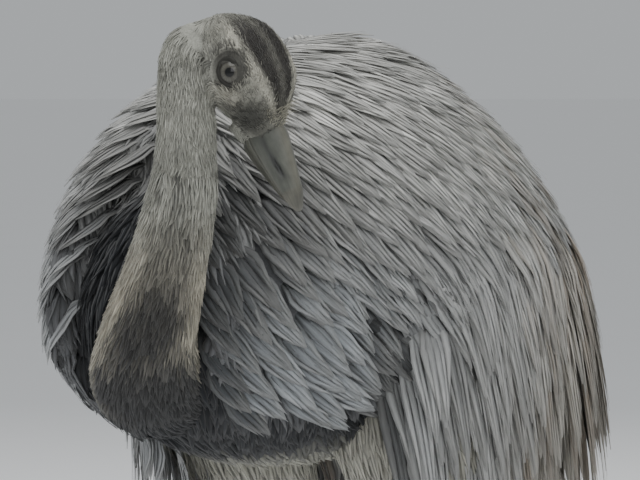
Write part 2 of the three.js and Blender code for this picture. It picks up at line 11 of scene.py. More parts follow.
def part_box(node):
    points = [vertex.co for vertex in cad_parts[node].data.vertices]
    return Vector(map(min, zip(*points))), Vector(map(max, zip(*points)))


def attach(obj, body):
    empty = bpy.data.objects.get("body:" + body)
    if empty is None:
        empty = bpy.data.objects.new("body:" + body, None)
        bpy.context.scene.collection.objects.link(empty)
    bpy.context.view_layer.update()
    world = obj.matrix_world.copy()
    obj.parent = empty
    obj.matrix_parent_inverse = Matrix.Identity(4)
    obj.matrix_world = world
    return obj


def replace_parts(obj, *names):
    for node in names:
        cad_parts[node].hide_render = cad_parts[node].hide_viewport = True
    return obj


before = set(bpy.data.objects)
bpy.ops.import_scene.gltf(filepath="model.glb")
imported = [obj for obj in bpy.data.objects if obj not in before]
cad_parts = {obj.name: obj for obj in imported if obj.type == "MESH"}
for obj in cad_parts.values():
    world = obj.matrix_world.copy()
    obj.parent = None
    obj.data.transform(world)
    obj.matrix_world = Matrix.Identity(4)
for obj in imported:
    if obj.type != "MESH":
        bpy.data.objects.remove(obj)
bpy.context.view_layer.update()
chance = np.random.default_rng(7)
fullTurn = 2 * math.pi
bothSides = ((1, "left"), (-1, "right"))


def mix(a, b, s):
    return a + (b - a) * s


def smooth(low, high, v):
    s = np.clip((np.asarray(v, float) - low) / (high - low), 0, 1)
    return s * s * (3 - 2 * s)


def unit(v):
    v = np.asarray(v, float)
    return v / np.maximum(np.linalg.norm(v, axis=-1, keepdims=True), 1e-9)


def dot(a, b):
    return (a * b).sum(-1, keepdims=True)


def squared(v, up):  # the direction of v at right angles to up
    return unit(v - up * dot(v, up))


def stacked(*parts):  # numbers or arrays side by side along a new last axis
    return np.stack(np.broadcast_arrays(*parts), -1)


def roundGrid(along, count):  # shares along a form, each with count angles round it
    along = np.linspace(0, 1, along) if np.ndim(along) == 0 else along
    return np.meshgrid(along, np.linspace(0, fullTurn, count, endpoint=False), indexing="ij")


def endToEnd(count):  # from -1 to 1, closer together at both ends
    return -np.cos(np.linspace(0.001, math.pi - 0.001, count))


def linear(hexColour):  # sRGB hex to linear
    parts = [int(hexColour[i:i + 2], 16) / 255 for i in (0, 2, 4)]
    return np.array([c / 12.92 if c <= 0.04045 else ((c + 0.055) / 1.055) ** 2.4 for c in parts])


# Head frame: x to the bird's left, y to the nape, z to the crown
headPlace = {"at": (166, -364, 944), "forward": (0.451, 0.068, -0.889), "crown": (0.867, -0.268, 0.421)}
headAt = np.array(headPlace["at"], float)
napeWay = -unit(headPlace["forward"])
crownWay = squared(np.array(headPlace["crown"], float), napeWay)
headAxes = np.stack([np.cross(napeWay, crownWay), napeWay, crownWay])


def fromHead(p):
    return headAt + np.asarray(p, float) @ headAxes


def toHead(p):
    return (p - headAt) @ headAxes.T


eyeSizes = {"x": 21.0, "y": -1.0, "z": 0.0, "ball": 14.5, "looks": (0.84, -0.12, 0.53), "iris": 9.4, "pupil": 3.7}
eyeBoxes = np.array([[list(c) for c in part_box(n)] for n in ("eye_left", "eye_right")]) * 1000
shift = eyeBoxes.mean((0, 1)) - fromHead((0, eyeSizes["y"], eyeSizes["z"]))
shift[2] = 0


def eyeAxes(side):  # where the eye looks, towards its rear corner and towards its upper lid
    out = unit(np.array(eyeSizes["looks"]) * (side, 1, 1))
    corner = unit(np.array([0, 1.0, 0]) - out * out[1])
    return out, corner, np.cross(out, corner) * side


def aroundEye(side, angle):  # from the eye's rear corner over its upper lid
    corner, upper = eyeAxes(side)[1:]
    return np.cos(angle)[..., None] * corner + np.sin(angle)[..., None] * upper


def eyeCentre(side):
    return np.array([side * eyeSizes["x"], eyeSizes["y"], eyeSizes["z"]])


def eyeRing(h, side):  # distance from the line along which the eye looks
    away = h - eyeCentre(side)
    out = eyeAxes(side)[0]
    high = away @ out
    return np.where(high > 2, np.linalg.norm(away - high[..., None] * out, axis=-1), 99.0)


def toFrame(p):
    return (np.asarray(p, float) + shift) / 1000


def added(name, data):  # a new object in the scene
    thing = bpy.data.objects.new(name, data)
    bpy.context.scene.collection.objects.link(thing)
    return thing


def aimed(right, up, back, at):
    return Matrix([[right[i], up[i], back[i], at[i]] for i in range(3)] + [[0, 0, 0, 1]])


# Camera, from the photograph's view of the bird
viewSizes = {"azimuth": 32.0, "elevation": 4.0, "distance": 2700.0, "focal": 2781.0, "target": (-8, 20, 772)}
turn, rise = math.radians(viewSizes["azimuth"]), math.radians(viewSizes["elevation"])
toward = np.array([math.sin(turn) * math.cos(rise), -math.cos(turn) * math.cos(rise), math.sin(rise)])
rightWay = np.array([math.cos(turn), math.sin(turn), 0.0])
upWay = np.cross(toward, rightWay)
camera = added("camera", bpy.data.cameras.new("camera"))
camera.data.sensor_width = 36
camera.data.lens = viewSizes["focal"] * 36 / 640
camera.data.clip_end = 50
camera.matrix_world = aimed(rightWay, upWay, toward,
                            toFrame(np.array(viewSizes["target"]) + toward * viewSizes["distance"]))
bpy.context.scene.camera = camera
print("camera placed")


# Materials
def addNode(tree, kind, inputs=None, **settings):
    node = tree.nodes.new(kind)
    for name, value in settings.items():
        setattr(node, name, value)
    for socket, value in (inputs or {}).items():
        if isinstance(value, bpy.types.NodeSocket):
            tree.links.new(value, node.inputs[socket])
        else:
            node.inputs[socket].default_value = value
    return node


def newMaterial(name, roughness, **sockets):
    material = bpy.data.materials.new(name)
    material.use_nodes = True
    shader = material.node_tree.nodes["Principled BSDF"]
    shader.inputs["Roughness"].default_value = roughness
    for socket, value in sockets.items():
        shader.inputs[socket.replace("_", " ")].default_value = value
    return material, material.node_tree, shader


def rgba(hexColour):
    return (*linear(hexColour), 1.0)


def noise(tree, where, scale, detail=2.0, roughness=0.5):
    return addNode(tree, "ShaderNodeTexNoise", {
        "Vector": where, "Scale": scale, "Detail": detail, "Roughness": roughness}).outputs["Fac"]


def spread(tree, value, low, high, fromLow=0.3, fromHigh=0.7):
    return addNode(tree, "ShaderNodeMapRange", {
        "Value": value, "From Min": fromLow, "From Max": fromHigh, "To Min": low, "To Max": high}).outputs["Result"]


def inObject(tree):
    return addNode(tree, "ShaderNodeTexCoord").outputs["Object"]


def alongVane(tree, squeeze):  # squeezed lengthwise, so that noise is drawn out into lines
    across = addNode(tree, "ShaderNodeUVMap", uv_map="vane")
    return addNode(tree, "ShaderNodeMapping", {
        "Vector": across.outputs["UV"], "Scale": (1.0, squeeze, 1.0)}).outputs["Vector"]


def shadedTint(tree, first, second=1.0):  # the piece's own tint times two factors
    tint = addNode(tree, "ShaderNodeVertexColor", layer_name="tint")
    both = addNode(tree, "ShaderNodeMath", {0: first, 1: second}, operation="MULTIPLY")
    return addNode(tree, "ShaderNodeVectorMath", {0: tint.outputs["Color"], "Scale": both.outputs[0]},
                   operation="SCALE").outputs[0]


def mixedColour(tree, factor, low, high):
    return addNode(tree, "ShaderNodeMix", {"Factor": factor, 6: low, 7: high}, data_type="RGBA").outputs[2]


def setSurface(tree, shader, colour, height, strength, distance):
    bump = addNode(tree, "ShaderNodeBump", {"Height": height, "Strength": strength, "Distance": distance})
    tree.links.new(colour, shader.inputs["Base Color"])
    tree.links.new(bump.outputs["Normal"], shader.inputs["Normal"])


# Keratin feather vanes: dull, streaked by their barbs along the lock, paler at the worn edges
def featherMaterial(name, barbScale, streak, edge, edgeHex):
    material, tree, shader = newMaterial(name, 0.82, Sheen_Weight=0.12, Sheen_Roughness=0.5, Specular_IOR_Level=0.25)
    barbs = noise(tree, alongVane(tree, 0.05), barbScale, 2.0, 0.6)
    patch = noise(tree, inObject(tree), 22.0)
    shaded = shadedTint(tree, spread(tree, barbs, 1 - streak, 1 + streak), spread(tree, patch, 0.9, 1.1))
    worn = addNode(tree, "ShaderNodeAttribute", attribute_name="edge").outputs["Fac"]
    colour = mixedColour(tree, spread(tree, worn, 0.0, edge, 0.0, 1.0), shaded, rgba(edgeHex))
    setSurface(tree, shader, colour, barbs, 0.35, 0.0006)
    return material


# Skin and short down under the feathers: matt, mottled, with fine pores
def skinMaterial(name, poreMm, roughness=0.8, depth=0.0004):
    material, tree, shader = newMaterial(name, roughness, Specular_IOR_Level=0.3)
    where = inObject(tree)
    pores = noise(tree, where, 1000 / poreMm, 3.0)
    mottled = spread(tree, noise(tree, where, 60.0), 0.88, 1.12)
    shaded = shadedTint(tree, spread(tree, pores, 0.8, 1.2), mottled)
    setSurface(tree, shader, shaded, pores, 0.5, depth)
    return material


# Horn of bill and claws: dull keratin with fine growth streaks along it
def hornMaterial(name, roughness, streaks, coat=0.15):
    material, tree, shader = newMaterial(name, roughness, Coat_Weight=coat, Coat_Roughness=0.35)
    grown = noise(tree, alongVane(tree, 0.12), streaks, 3.0, 0.65)
    worn = noise(tree, inObject(tree), 140.0, 4.0)
    shaded = shadedTint(tree, spread(tree, grown, 0.78, 1.2), spread(tree, worn, 0.85, 1.15))
    tree.links.new(spread(tree, worn, roughness - 0.1, roughness + 0.12), shader.inputs["Roughness"])
    setSurface(tree, shader, shaded, grown, 0.3, 0.0003)
    return material


def eyeMaterial():  # radial fibres under a wet, clear surface
    material, tree, shader = newMaterial("wet eyeball", 0.3, Coat_Weight=0.7, Coat_Roughness=0.03,
                                         Specular_IOR_Level=0.1)
    fibres = noise(tree, alongVane(tree, 0.04), 40.0, 3.0)
    tree.links.new(shadedTint(tree, spread(tree, fibres, 0.72, 1.25)), shader.inputs["Base Color"])
    return material


def scaleMaterial(name, scaleMm, roughness=0.58):  # dry horny scales with dirt between them
    material, tree, shader = newMaterial(name, roughness, Specular_IOR_Level=0.35)
    where = inObject(tree)
    cells = addNode(tree, "ShaderNodeTexVoronoi", {"Vector": where, "Scale": 1000 / scaleMm},
                    feature="DISTANCE_TO_EDGE")
    seam = spread(tree, cells.outputs["Distance"], 0.0, 1.0, 0.0, 0.12)
    warm = mixedColour(tree, noise(tree, where, 45.0, 4.0), rgba("7b7466"), rgba("989181"))
    setSurface(tree, shader, mixedColour(tree, seam, rgba("4c473d"), warm), seam, 0.6, 0.0006)
    return material


wingVane = featherMaterial("contour feather keratin", 20, 0.2, 0.4, "b4b3ae")
bodyDown = featherMaterial("soft body feather keratin", 14, 0.25, 0.1, "8a8982")
hairFeather = featherMaterial("hair-like neck feather keratin", 10, 0.2, 0.14, "a8a596")
featheredSkin = skinMaterial("skin under down", 1.6)
billHorn = hornMaterial("bill horn keratin", 0.48, 26.0)
clawHorn = hornMaterial("claw horn keratin", 0.42, 14.0)
eyeWet = eyeMaterial()
lidSkin = skinMaterial("creased lid skin", 0.9, 0.62, 0.0003)
bristleHorn = hornMaterial("stiff bristle keratin", 0.6, 8.0, 0.0)
legScales = scaleMaterial("horny leg scales", 4.5)
scuteHorn = scaleMaterial("broad leg scutes", 90.0, 0.5)


# Meshes from arrays of points and faces
def makePiece(name, points, faceSets, material, slot, tint=None, vane=None, bake=None, edge=None):
    mesh = bpy.data.meshes.new(name)
    points = np.asarray(points, float)
    corners = np.concatenate([f.ravel() for f in faceSets]).astype(np.int32)
    totals = np.concatenate([np.full(len(f), f.shape[1]) for f in faceSets])
    mesh.vertices.add(len(points))
    mesh.vertices.foreach_set("co", toFrame(points).ravel())
    mesh.loops.add(len(corners))
    mesh.loops.foreach_set("vertex_index", corners)
    mesh.polygons.add(len(totals))
    starts = np.concatenate([[0], np.cumsum(totals)[:-1]]).astype(np.int32)
    mesh.polygons.foreach_set("loop_start", starts)
    mesh.polygons.foreach_set("use_smooth", np.ones(len(totals), bool))
    if tint is not None:
        layer = mesh.color_attributes.new("tint", "FLOAT_COLOR", "POINT")
        layer.data.foreach_set("color", np.c_[tint, np.ones(len(tint))].ravel())
    if vane is not None:
        mesh.uv_layers.new(name="vane").data.foreach_set("uv", vane[corners].ravel())
    if bake is not None:
        mesh.uv_layers.new(name="OFBake").data.foreach_set("uv", bake[corners].ravel())
    mesh.update(calc_edges=True)
    mesh.validate()
    mesh.materials.append(material)
    if edge is not None:
        mesh.attributes.new("edge", "FLOAT", "POINT").data.foreach_set("value", edge)
    piece = added(name, mesh)
    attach(piece, "root")
    return piece


def plainMesh(points, faceSets):
    mesh = bpy.data.meshes.new("form")
    faces = [f.tolist() for group in faceSets for f in group]
    mesh.from_pydata(np.asarray(points).tolist(), [], faces)
    return mesh


def joined(forms):  # (points, face sets) of several forms as one
    points, faceSets, count = [], [], 0
    for found, groups in forms:
        points.append(found)
        faceSets += [f + count for f in groups]
        count += len(found)
    return np.concatenate(points), faceSets


def evaluated(form):  # the points, corners and face sizes that a form's modifiers make
    mesh = bpy.data.meshes.new_from_object(form.evaluated_get(bpy.context.evaluated_depsgraph_get()))
    points = np.zeros(len(mesh.vertices) * 3)
    mesh.vertices.foreach_get("co", points)
    corners, totals = np.zeros(len(mesh.loops), np.int32), np.zeros(len(mesh.polygons), np.int32)
    mesh.loops.foreach_get("vertex_index", corners)
    mesh.polygons.foreach_get("loop_total", totals)
    return points.reshape(-1, 3), corners, totals


# Geometry Nodes tree that sets one small shape on every point, turned by the point's own directions
def setterTree():
    tree = bpy.data.node_groups.new("set along a surface", "GeometryNodeTree")
    sockets = {}
    for name, kind in (("Geometry", "NodeSocketGeometry"), ("Shape", "NodeSocketObject"),
                       ("Vary", "NodeSocketFloat"), ("Seed", "NodeSocketInt"), ("Material", "NodeSocketMaterial")):
        sockets[name] = tree.interface.new_socket(name, in_out="INPUT", socket_type=kind).identifier
    tree.interface.new_socket("Geometry", in_out="OUTPUT", socket_type="NodeSocketGeometry")
    start, end = tree.nodes.new("NodeGroupInput"), tree.nodes.new("NodeGroupOutput")
    up, along, size = (addNode(tree, "GeometryNodeInputNamedAttribute", {"Name": word}, data_type="FLOAT_VECTOR")
                       for word in ("up", "along", "size"))
    turn = addNode(tree, "FunctionNodeAxesToRotation", {0: up.outputs["Attribute"], 1: along.outputs["Attribute"]},
                   primary_axis="Z", secondary_axis="Y")
    factor = addNode(tree, "FunctionNodeRandomValue", {"Seed": start.outputs["Seed"]}, data_type="FLOAT")
    for slot, operation in ((2, "SUBTRACT"), (3, "ADD")):
        limit = addNode(tree, "ShaderNodeMath", {0: 1.0, 1: start.outputs["Vary"]}, operation=operation)
        tree.links.new(limit.outputs[0], factor.inputs[slot])
    scale = addNode(tree, "ShaderNodeVectorMath", {0: size.outputs["Attribute"], "Scale": factor.outputs[1]},
                    operation="SCALE")
    shape = addNode(tree, "GeometryNodeObjectInfo", {"Object": start.outputs["Shape"]})
    placed = addNode(tree, "GeometryNodeInstanceOnPoints", {
        "Points": start.outputs["Geometry"], "Instance": shape.outputs["Geometry"],
        "Rotation": turn.outputs[0], "Scale": scale.outputs[0]})
    real = addNode(tree, "GeometryNodeRealizeInstances", {0: placed.outputs[0]})
    made = addNode(tree, "GeometryNodeSetMaterial", {"Geometry": real.outputs[0],
                                                     "Material": start.outputs["Material"]})
    tree.links.new(made.outputs[0], end.inputs[0])
    return tree, sockets


setter, setterSockets = setterTree()


def setAlong(points, up, along, size, shape, vary, seed, material):  # one plain mesh's points and faces
    mesh = bpy.data.meshes.new("roots")
    mesh.from_pydata(points.tolist(), [], [])
    for name, values in (("up", up), ("along", along), ("size", size)):
        layer = mesh.attributes.new(name, "FLOAT_VECTOR", "POINT")
        layer.data.foreach_set("vector", np.ascontiguousarray(np.broadcast_to(values, points.shape)).ravel())
    form, part = added("roots", mesh), added("shape", plainMesh(*shape))
    modifier = form.modifiers.new("set", "NODES")
    modifier.node_group = setter
    for name, value in (("Shape", part), ("Vary", vary), ("Seed", seed), ("Material", material)):
        modifier[setterSockets[name]] = value
    found, corners, totals = evaluated(form)
    form.modifiers.clear()
    for thing in (form, part):
        bpy.data.objects.remove(thing)
    ends = np.split(corners, np.cumsum(totals)[:-1])
    return found, [np.array([ends[i] for i in np.flatnonzero(totals == count)]) for count in np.unique(totals)]


def volumeOf(points, quads):
    a, b, c, d = (points[quads[:, i]] for i in range(4))
    return (dot(a, np.cross(b, c)) + dot(a, np.cross(c, d))).sum()


# A closed form from rings of points, (rings, around, 3), with one face across each end
def ringForm(rings):
    count, around, _ = rings.shape
    index = np.arange(count * around).reshape(count, around)
    a, b = index[:-1], index[1:]
    quads = stacked(a, np.roll(a, -1, 1), np.roll(b, -1, 1), b).reshape(-1, 4)
    points = rings.reshape(-1, 3)
    ends = np.stack([index[0][::-1], index[-1]])
    if volumeOf(points - points.mean(0), quads) < 0:
        quads, ends = quads[:, ::-1], ends[:, ::-1]
    return points, [quads, ends]


# Body form: t runs from the breast at -1 to the rump at 1, around from the top towards the left
body = {
    "midY": 32.0, "midZ": 746.0, "halfLength": 349.0, "halfWidth": 154.0, "rise": 186.0, "drop": 181.0,
    "breastSag": 24.0, "rumpSag": 150.0, "rumpWiden": 0.1, "rumpFlatten": 0.6, "rumpTuck": 0.5,
}
wingShell = {
    "depth": 33.0, "edgeDepth": 12.0, "left": 640.0, "right": 592.0, "rump": 575.0, "fade": 110.0,
    "openX": 62.0, "openZ": 150.0, "openMid": 680.0,
    "creaseTurn": 38.0, "creaseHalf": 8.0, "creaseDepth": 26.0, "creaseTop": 805.0,
}
middle = np.array([0, body["midY"], body["midZ"] - 10])


def fullness(t):
    t = np.clip(t, -1, 1)
    front = np.maximum(0, 1 - np.abs(t) ** 2.3) ** (1 / 2.0)
    rear = np.maximum(0, 1 - np.abs(t) ** 2.1) ** (1 / 1.8)
    return np.where(t < 0, front, rear)


def sectionZ(t):
    return body["midZ"] - np.where(t < 0, body["breastSag"], body["rumpSag"]) * t * t


def halfSizes(t, isUp):
    rear = np.maximum(0, t)
    up = body["rise"] * (1 - body["rumpFlatten"] * rear)
    down = body["drop"] * (1 - body["rumpTuck"] * rear)
    return body["halfWidth"] * (1 + body["rumpWiden"] * rear), np.where(isUp, up, down)


def onBody(t, around, out=0.0):
    full = fullness(t)
    up = np.cos(around)
    wide, half = halfSizes(t, up > 0)
    return stacked((wide + out) * full * np.sin(around), body["midY"] + t * (body["halfLength"] + out * 0.7),
                   sectionZ(t) + (half + out) * full * up)


def lowEdge(p):
    side = np.where(p[..., 0] > 0, wingShell["left"], wingShell["right"])
    return mix(side, wingShell["rump"], smooth(120, 300, p[..., 1]))


def breastRing(p):  # below 1 on the bare breast between the wings
    ring = np.hypot(p[..., 0] / wingShell["openX"], (p[..., 2] - wingShell["openMid"]) / wingShell["openZ"])
    return np.where(p[..., 1] < 0, ring, 9.0)


def creaseAt(p):
    bearing = np.degrees(np.arctan2(p[..., 0], body["midY"] - p[..., 1]))
    away = np.abs(bearing - wingShell["creaseTurn"]) / wingShell["creaseHalf"]
    top = wingShell["creaseTop"]
    return (1 - smooth(0.3, 1.4, away)) * (1 - smooth(top - 90, top, p[..., 2]))


def shellDepth(p):
    low = lowEdge(p)
    nearBreast = smooth(1, 1.4, breastRing(p))
    nearEdge = smooth(low, low + wingShell["fade"], p[..., 2])
    depth = mix(3, mix(wingShell["edgeDepth"], wingShell["depth"], nearEdge), nearBreast)
    return depth - wingShell["creaseDepth"] * creaseAt(p) * nearEdge


def evenDepth(p):  # without the cleft and the step down to the breast
    low = lowEdge(p)
    return mix(wingShell["edgeDepth"], wingShell["depth"], smooth(low, low + wingShell["fade"], p[..., 2]))


def outsideBody(p, out):
    t = (p[..., 1] - body["midY"]) / (body["halfLength"] + out * 0.7)
    z = p[..., 2] - sectionZ(t)
    wide, half = halfSizes(t, z > 0)
    ring = np.hypot(p[..., 0] / (wide + out), z / (half + out)) - fullness(t)
    return np.where(np.abs(t) >= 1, 1, ring)


def shellPoint(way, depthAt=shellDepth):
    way = unit(way)
    near, far = np.full(way.shape[:-1], 20.0), np.full(way.shape[:-1], 600.0)
    for _ in range(22):
        r = (near + far) / 2
        p = middle + way * r[..., None]
        inside = outsideBody(p, depthAt(p)) < 0
        near, far = np.where(inside, r, near), np.where(inside, far, r)
    return middle + way * near[..., None]


# Feathers part in front of and above the body and run down over it like meridians
mapSizes = {"rows": 150, "columns": 301, "margin": 0.03}


def wingMap(side):
    to = unit(np.array([side * 0.5, 1.0, -1.2]))
    across = unit(np.cross(to, (0, 0, 1)))
    upward = np.cross(across, to)
    margin = mapSizes["margin"]
    polar, around = np.meshgrid(np.linspace(margin, math.pi - margin, mapSizes["rows"]),
                                np.linspace(0, fullTurn, mapSizes["columns"]), indexing="ij")
    ways = (-to * np.cos(polar)[..., None] + across * (np.sin(polar) * np.cos(around))[..., None]
            + upward * (np.sin(polar) * np.sin(around))[..., None])
    points = shellPoint(ways)
    even = shellPoint(ways, evenDepth)
    normals = unit(np.cross(np.gradient(even, axis=0), np.gradient(even, axis=1)))
    flip = np.sign(dot(normals, ways))
    return {"points": points, "even": even, "normals": normals * flip}


def readMap(grid, polar, around):
    rows, columns, margin = mapSizes["rows"] - 1, mapSizes["columns"] - 1, mapSizes["margin"]
    a = np.clip((polar - margin) / (math.pi - 2 * margin), 0, 1) * rows
    b = (around / fullTurn % 1) * columns
    i, j = np.minimum(a.astype(int), rows - 1), np.minimum(b.astype(int), columns - 1)
    fa, fb = (a - i)[..., None], (b - j)[..., None]
    low = mix(grid[i, j], grid[i, j + 1], fb)
    return mix(low, mix(grid[i + 1, j], grid[i + 1, j + 1], fb), fa)


# Middle lines of feathers: held by the shell, then hanging free below its widest part
def featherLines(wing, polar, around, length, steps):
    down = np.array([0, 0.06, -1.0])
    p = readMap(wing["points"], polar, around)
    rear = smooth(100, 250, p[:, 1])
    hangFrom = mix(mix(-0.8, -0.08, smooth(-190, -60, p[:, 1])), 0.44, rear)
    droop = (1 - (1 - mix(0.6, 0.64, rear)) ** (3 / steps))[:, None]
    held = np.ones(len(p), bool)
    lines, normals, sides = [], [], []
    along = normal = None
    for k in range(steps + 1):
        step = length / steps if k else length * 0
        polar = np.where(held, polar + step / np.linalg.norm(p - middle, axis=1), polar)
        onShell = readMap(wing["points"], polar, around)
        shellUp = unit(readMap(wing["normals"], polar, around))
        ahead = readMap(wing["even"], polar + 0.05, around) - readMap(wing["even"], polar, around)
        shellAlong = squared(ahead, shellUp)
        if k:
            freeAlong = unit(mix(along, down, droop))
            freeAt = p + freeAlong * step[:, None]
            freeUp = squared(normal, freeAlong)
            h = held[:, None]
            p, along, normal = (np.where(h, onShell, freeAt), np.where(h, shellAlong, freeAlong),
                                np.where(h, shellUp, freeUp))
        else:
            p, along, normal = onShell, shellAlong, shellUp
        held = held & (normal[:, 2] > hangFrom)
        lines.append(p)
        normals.append(normal)
        sides.append(np.cross(along, normal))
    return [np.stack(v, 1) for v in (lines, normals, sides)]


# Closed strands along lines: each cross-section is a small ring of points
ridge = np.array([[-1, 0], [1, 0], [0, 1.0]])
lens = np.array([[-1, 0], [0, -0.5], [1, 0], [0, 0.8]])


def strands(lines, normals, sides, halfWidths, heights, section):
    n, k, _ = lines.shape
    m = len(section)
    rings = (lines[:, :, None] + sides[:, :, None] * (halfWidths[..., None] * section[:, 0])[..., None]
             + normals[:, :, None] * (heights[..., None] * section[:, 1])[..., None])
    index = np.arange(n * k * m).reshape(n, k, m)
    a, b = index[:, :-1], index[:, 1:]
    quads = stacked(a, np.roll(a, -1, 2), np.roll(b, -1, 2), b).reshape(-1, 4)
    points = rings.reshape(-1, 3)
    ends = np.concatenate([index[:, 0, ::-1], index[:, -1]])
    one = quads[:(k - 1) * m]
    if volumeOf(points[:k * m] - points[:k * m].mean(0), one) < 0:
        quads, ends = quads[:, ::-1], ends[:, ::-1]
    return points, [quads, ends]


def follow(values, share):  # reads (n, k, 3) lines at shares (n, j, s) of their length
    place = np.clip(share, 0, 1) * (values.shape[1] - 1)
    i = np.minimum(place.astype(int), values.shape[1] - 2)
    rows = np.arange(len(values))[:, None, None]
    return mix(values[rows, i], values[rows, i + 1], (place - i)[..., None])


# A feather is a soft vane under several tapered locks of barbs that part towards the tip
def feathers(name, lines, normals, sides, style, tint, material, slot, rootUv):
    n, count, steps = len(lines), style["locks"], style["steps"]
    width = style["width"][:, None, None] / 2
    s = np.linspace(0, 1, steps + 1)[None, None, :]
    a = np.linspace(-1, 1, count)[None, :, None] + chance.uniform(-0.12, 0.12, (n, count, 1))
    reach = 1 - style["ragged"] * (np.abs(a) ** 1.5 * 0.6 + chance.uniform(0, 0.5, (n, count, 1)))
    centre, up, side = (follow(values, s * reach) for values in (lines, normals, sides))
    spreadOut = (0.3 + 0.7 * smooth(0, 0.4, s)) * (1 - style["gather"] * smooth(0.55, 1, s))
    stray = chance.normal(0, style["stray"], (n, count, 1)) * s ** 2
    bend = chance.normal(0, style["bend"], (n, 1, 1)) * s ** 2
    lateral = a * width * spreadOut + stray + bend
    lift = (style["lift"][:, None, None] * s + style["base"] - style["sink"] * (1 - smooth(0, 0.15, s))
            - style["camber"] * a ** 2 * smooth(0, 0.3, s) + chance.uniform(0, style["pile"], (n, count, 1))
            + chance.normal(0, style["puff"], (n, count, 1)) * s ** 2)
    points = centre + side * lateral[..., None] + up * lift[..., None]
    half = width / count * style["overlap"] * (0.55 + 0.45 * smooth(0, 0.3, s)) * (1 - s ** 2.5 * 0.94)
    half = half * chance.uniform(0.8, 1.2, (n, count, 1))
    flat = lambda v: v.reshape(n * count, steps + 1, -1)
    high = np.maximum(half * style["crest"], 0.16)
    locks = strands(flat(points), flat(up), flat(side), flat(half)[..., 0], flat(high)[..., 0], ridge)
    # The soft vane beneath, which closes the gaps between the locks
    v = s[0]
    under, underUp, underSide = (follow(values, np.broadcast_to(s * share, (n, 1, steps + 1)))[:, 0]
                                 for values, share in ((lines, 0.93), (normals, 1), (sides, 1)))
    low = style["lift"][:, None] * v + style["base"] - 0.8 - style["sink"] * (1 - smooth(0, 0.15, v))
    under = under + underUp * low[..., None] + underSide * bend[:, 0][..., None]
    vaneHalf = width[:, 0] * (0.35 + 0.65 * smooth(0, 0.35, v)) * (1 - style["gather"] * smooth(0.5, 1, v))
    vaneHalf = vaneHalf * np.sqrt(np.maximum(0, 1 - smooth(0.62, 1.02, v) ** 1.6)) + 0.3
    vane = strands(under, underUp, underSide, vaneHalf, np.full((n, steps + 1), 0.5), lens)
    # Tint: painted shade, darker at the root and on the soft vane under the locks; varied from feather to feather
    # and from lock to lock
    vary = (1 + chance.normal(0, style["vary"], (n, 1, 1))) * (1 + chance.normal(0, 0.08, (n, count, 1)))
    dark = mix(style["rootShade"], 1.0, smooth(0.1, style["shadeEnd"], s))
    palest = smooth(0.008, 0.12, tint.mean(1))[:, None, None]  # dark feathers have no pale tips
    colours = tint[:, None, None, None, :] * (vary * dark)[..., None, None]
    underColours = tint[:, None, None, :] * (0.86 * vary[:, 0, 0, None] * dark[0])[..., None, None]
    edge = (smooth(0.55, 1.0, s) * 0.8 + smooth(0.5, 1.05, np.abs(a)) * 0.25) * palest
    v, wide = v[..., None], lens[:, 0]
    underEdge = (smooth(0.5, 1.0, v) * 0.7 + np.abs(wide) * 0.35) * palest
    # Each feather reads its own part of the noise, and is baked within a small square of its own
    row, length = np.arange(n)[:, None, None], style["length"][:, None, None] / 25
    uv = stacked((a * 0.5)[..., None] + np.array([-0.08, 0.08, 0.0]) + row[..., None] * 0.37,
                 s[..., None] * length[..., None] + row[..., None] * 0.61)
    underUv = stacked(wide * 0.5 + row * 0.37, v * length + row * 0.61)
    bake = rootUv[:, None, None, None, :] + stacked((a * 0.0012)[..., None], (s[..., None] - 0.5) * 0.0026)
    underBake = rootUv[:, None, None, :] + stacked(wide * 0.0012, (v - 0.5) * 0.0026)

    def both(values, underValues, size):
        return np.concatenate([np.broadcast_to(values, (n, count, steps + 1, 3, size)).reshape(-1, size),
                               np.broadcast_to(underValues, (n, steps + 1, 4, size)).reshape(-1, size)])

    edges = both(edge[..., None, None], underEdge[..., None], 1).ravel().astype(np.float32)
    return makePiece(name, *joined((locks, vane)), material, slot, both(colours, underColours, 3),
                     both(uv, underUv, 2), both(bake, underBake, 2), edges)


print("feather tools ready")


# Skin under the feathers: one closed surface of body, wing bulk, thighs and lower neck, and one of upper neck
# and head that reaches down into it
neckPath = np.array([
    [0, -200, 690, 60], [-2, -266, 668, 54], [33, -326, 704, 41], [70, -358, 755, 35], [95, -374, 803, 31],
    [112, -383, 850, 27.5], [118, -388, 887, 25], [117, -387, 922, 24], [119, -379, 954, 26],
    [141, -367, 968, 18]], float)
legSizes = {"stagger": 16.0, "hock": (90, 112, 372), "toeRoot": (86, 40, 40)}


def pathPoint(path, u):  # centripetal curve through the path's points
    pts = path[:, :3]
    pts = np.concatenate([[2 * pts[0] - pts[1]], pts, [2 * pts[-1] - pts[-2]]])
    place = np.clip(u, 0, 1) * (len(path) - 1)
    i = np.minimum(place.astype(int), len(path) - 2)
    w = (place - i)[..., None]
    p0, p1, p2, p3 = (pts[i + k] for k in range(4))
    d0, d1, d2 = (np.sqrt(np.linalg.norm(b - a, axis=-1, keepdims=True))
                  for a, b in ((p0, p1), (p1, p2), (p2, p3)))
    t1 = ((p1 - p0) / d0 - (p2 - p0) / (d0 + d1) + (p2 - p1) / d1) * d1
    t2 = ((p2 - p1) / d1 - (p3 - p1) / (d1 + d2) + (p3 - p2) / d2) * d1
    return p1 + t1 * w + (3 * (p2 - p1) - 2 * t1 - t2) * w ** 2 + (2 * (p1 - p2) + t1 + t2) * w ** 3


def radiusAt(path, u):
    return np.interp(u * (len(path) - 1), np.arange(len(path)), path[:, 3])


def pathLength(path, count):
    return np.linalg.norm(np.diff(pathPoint(path, np.linspace(0, 1, count)), axis=0), axis=1).sum()


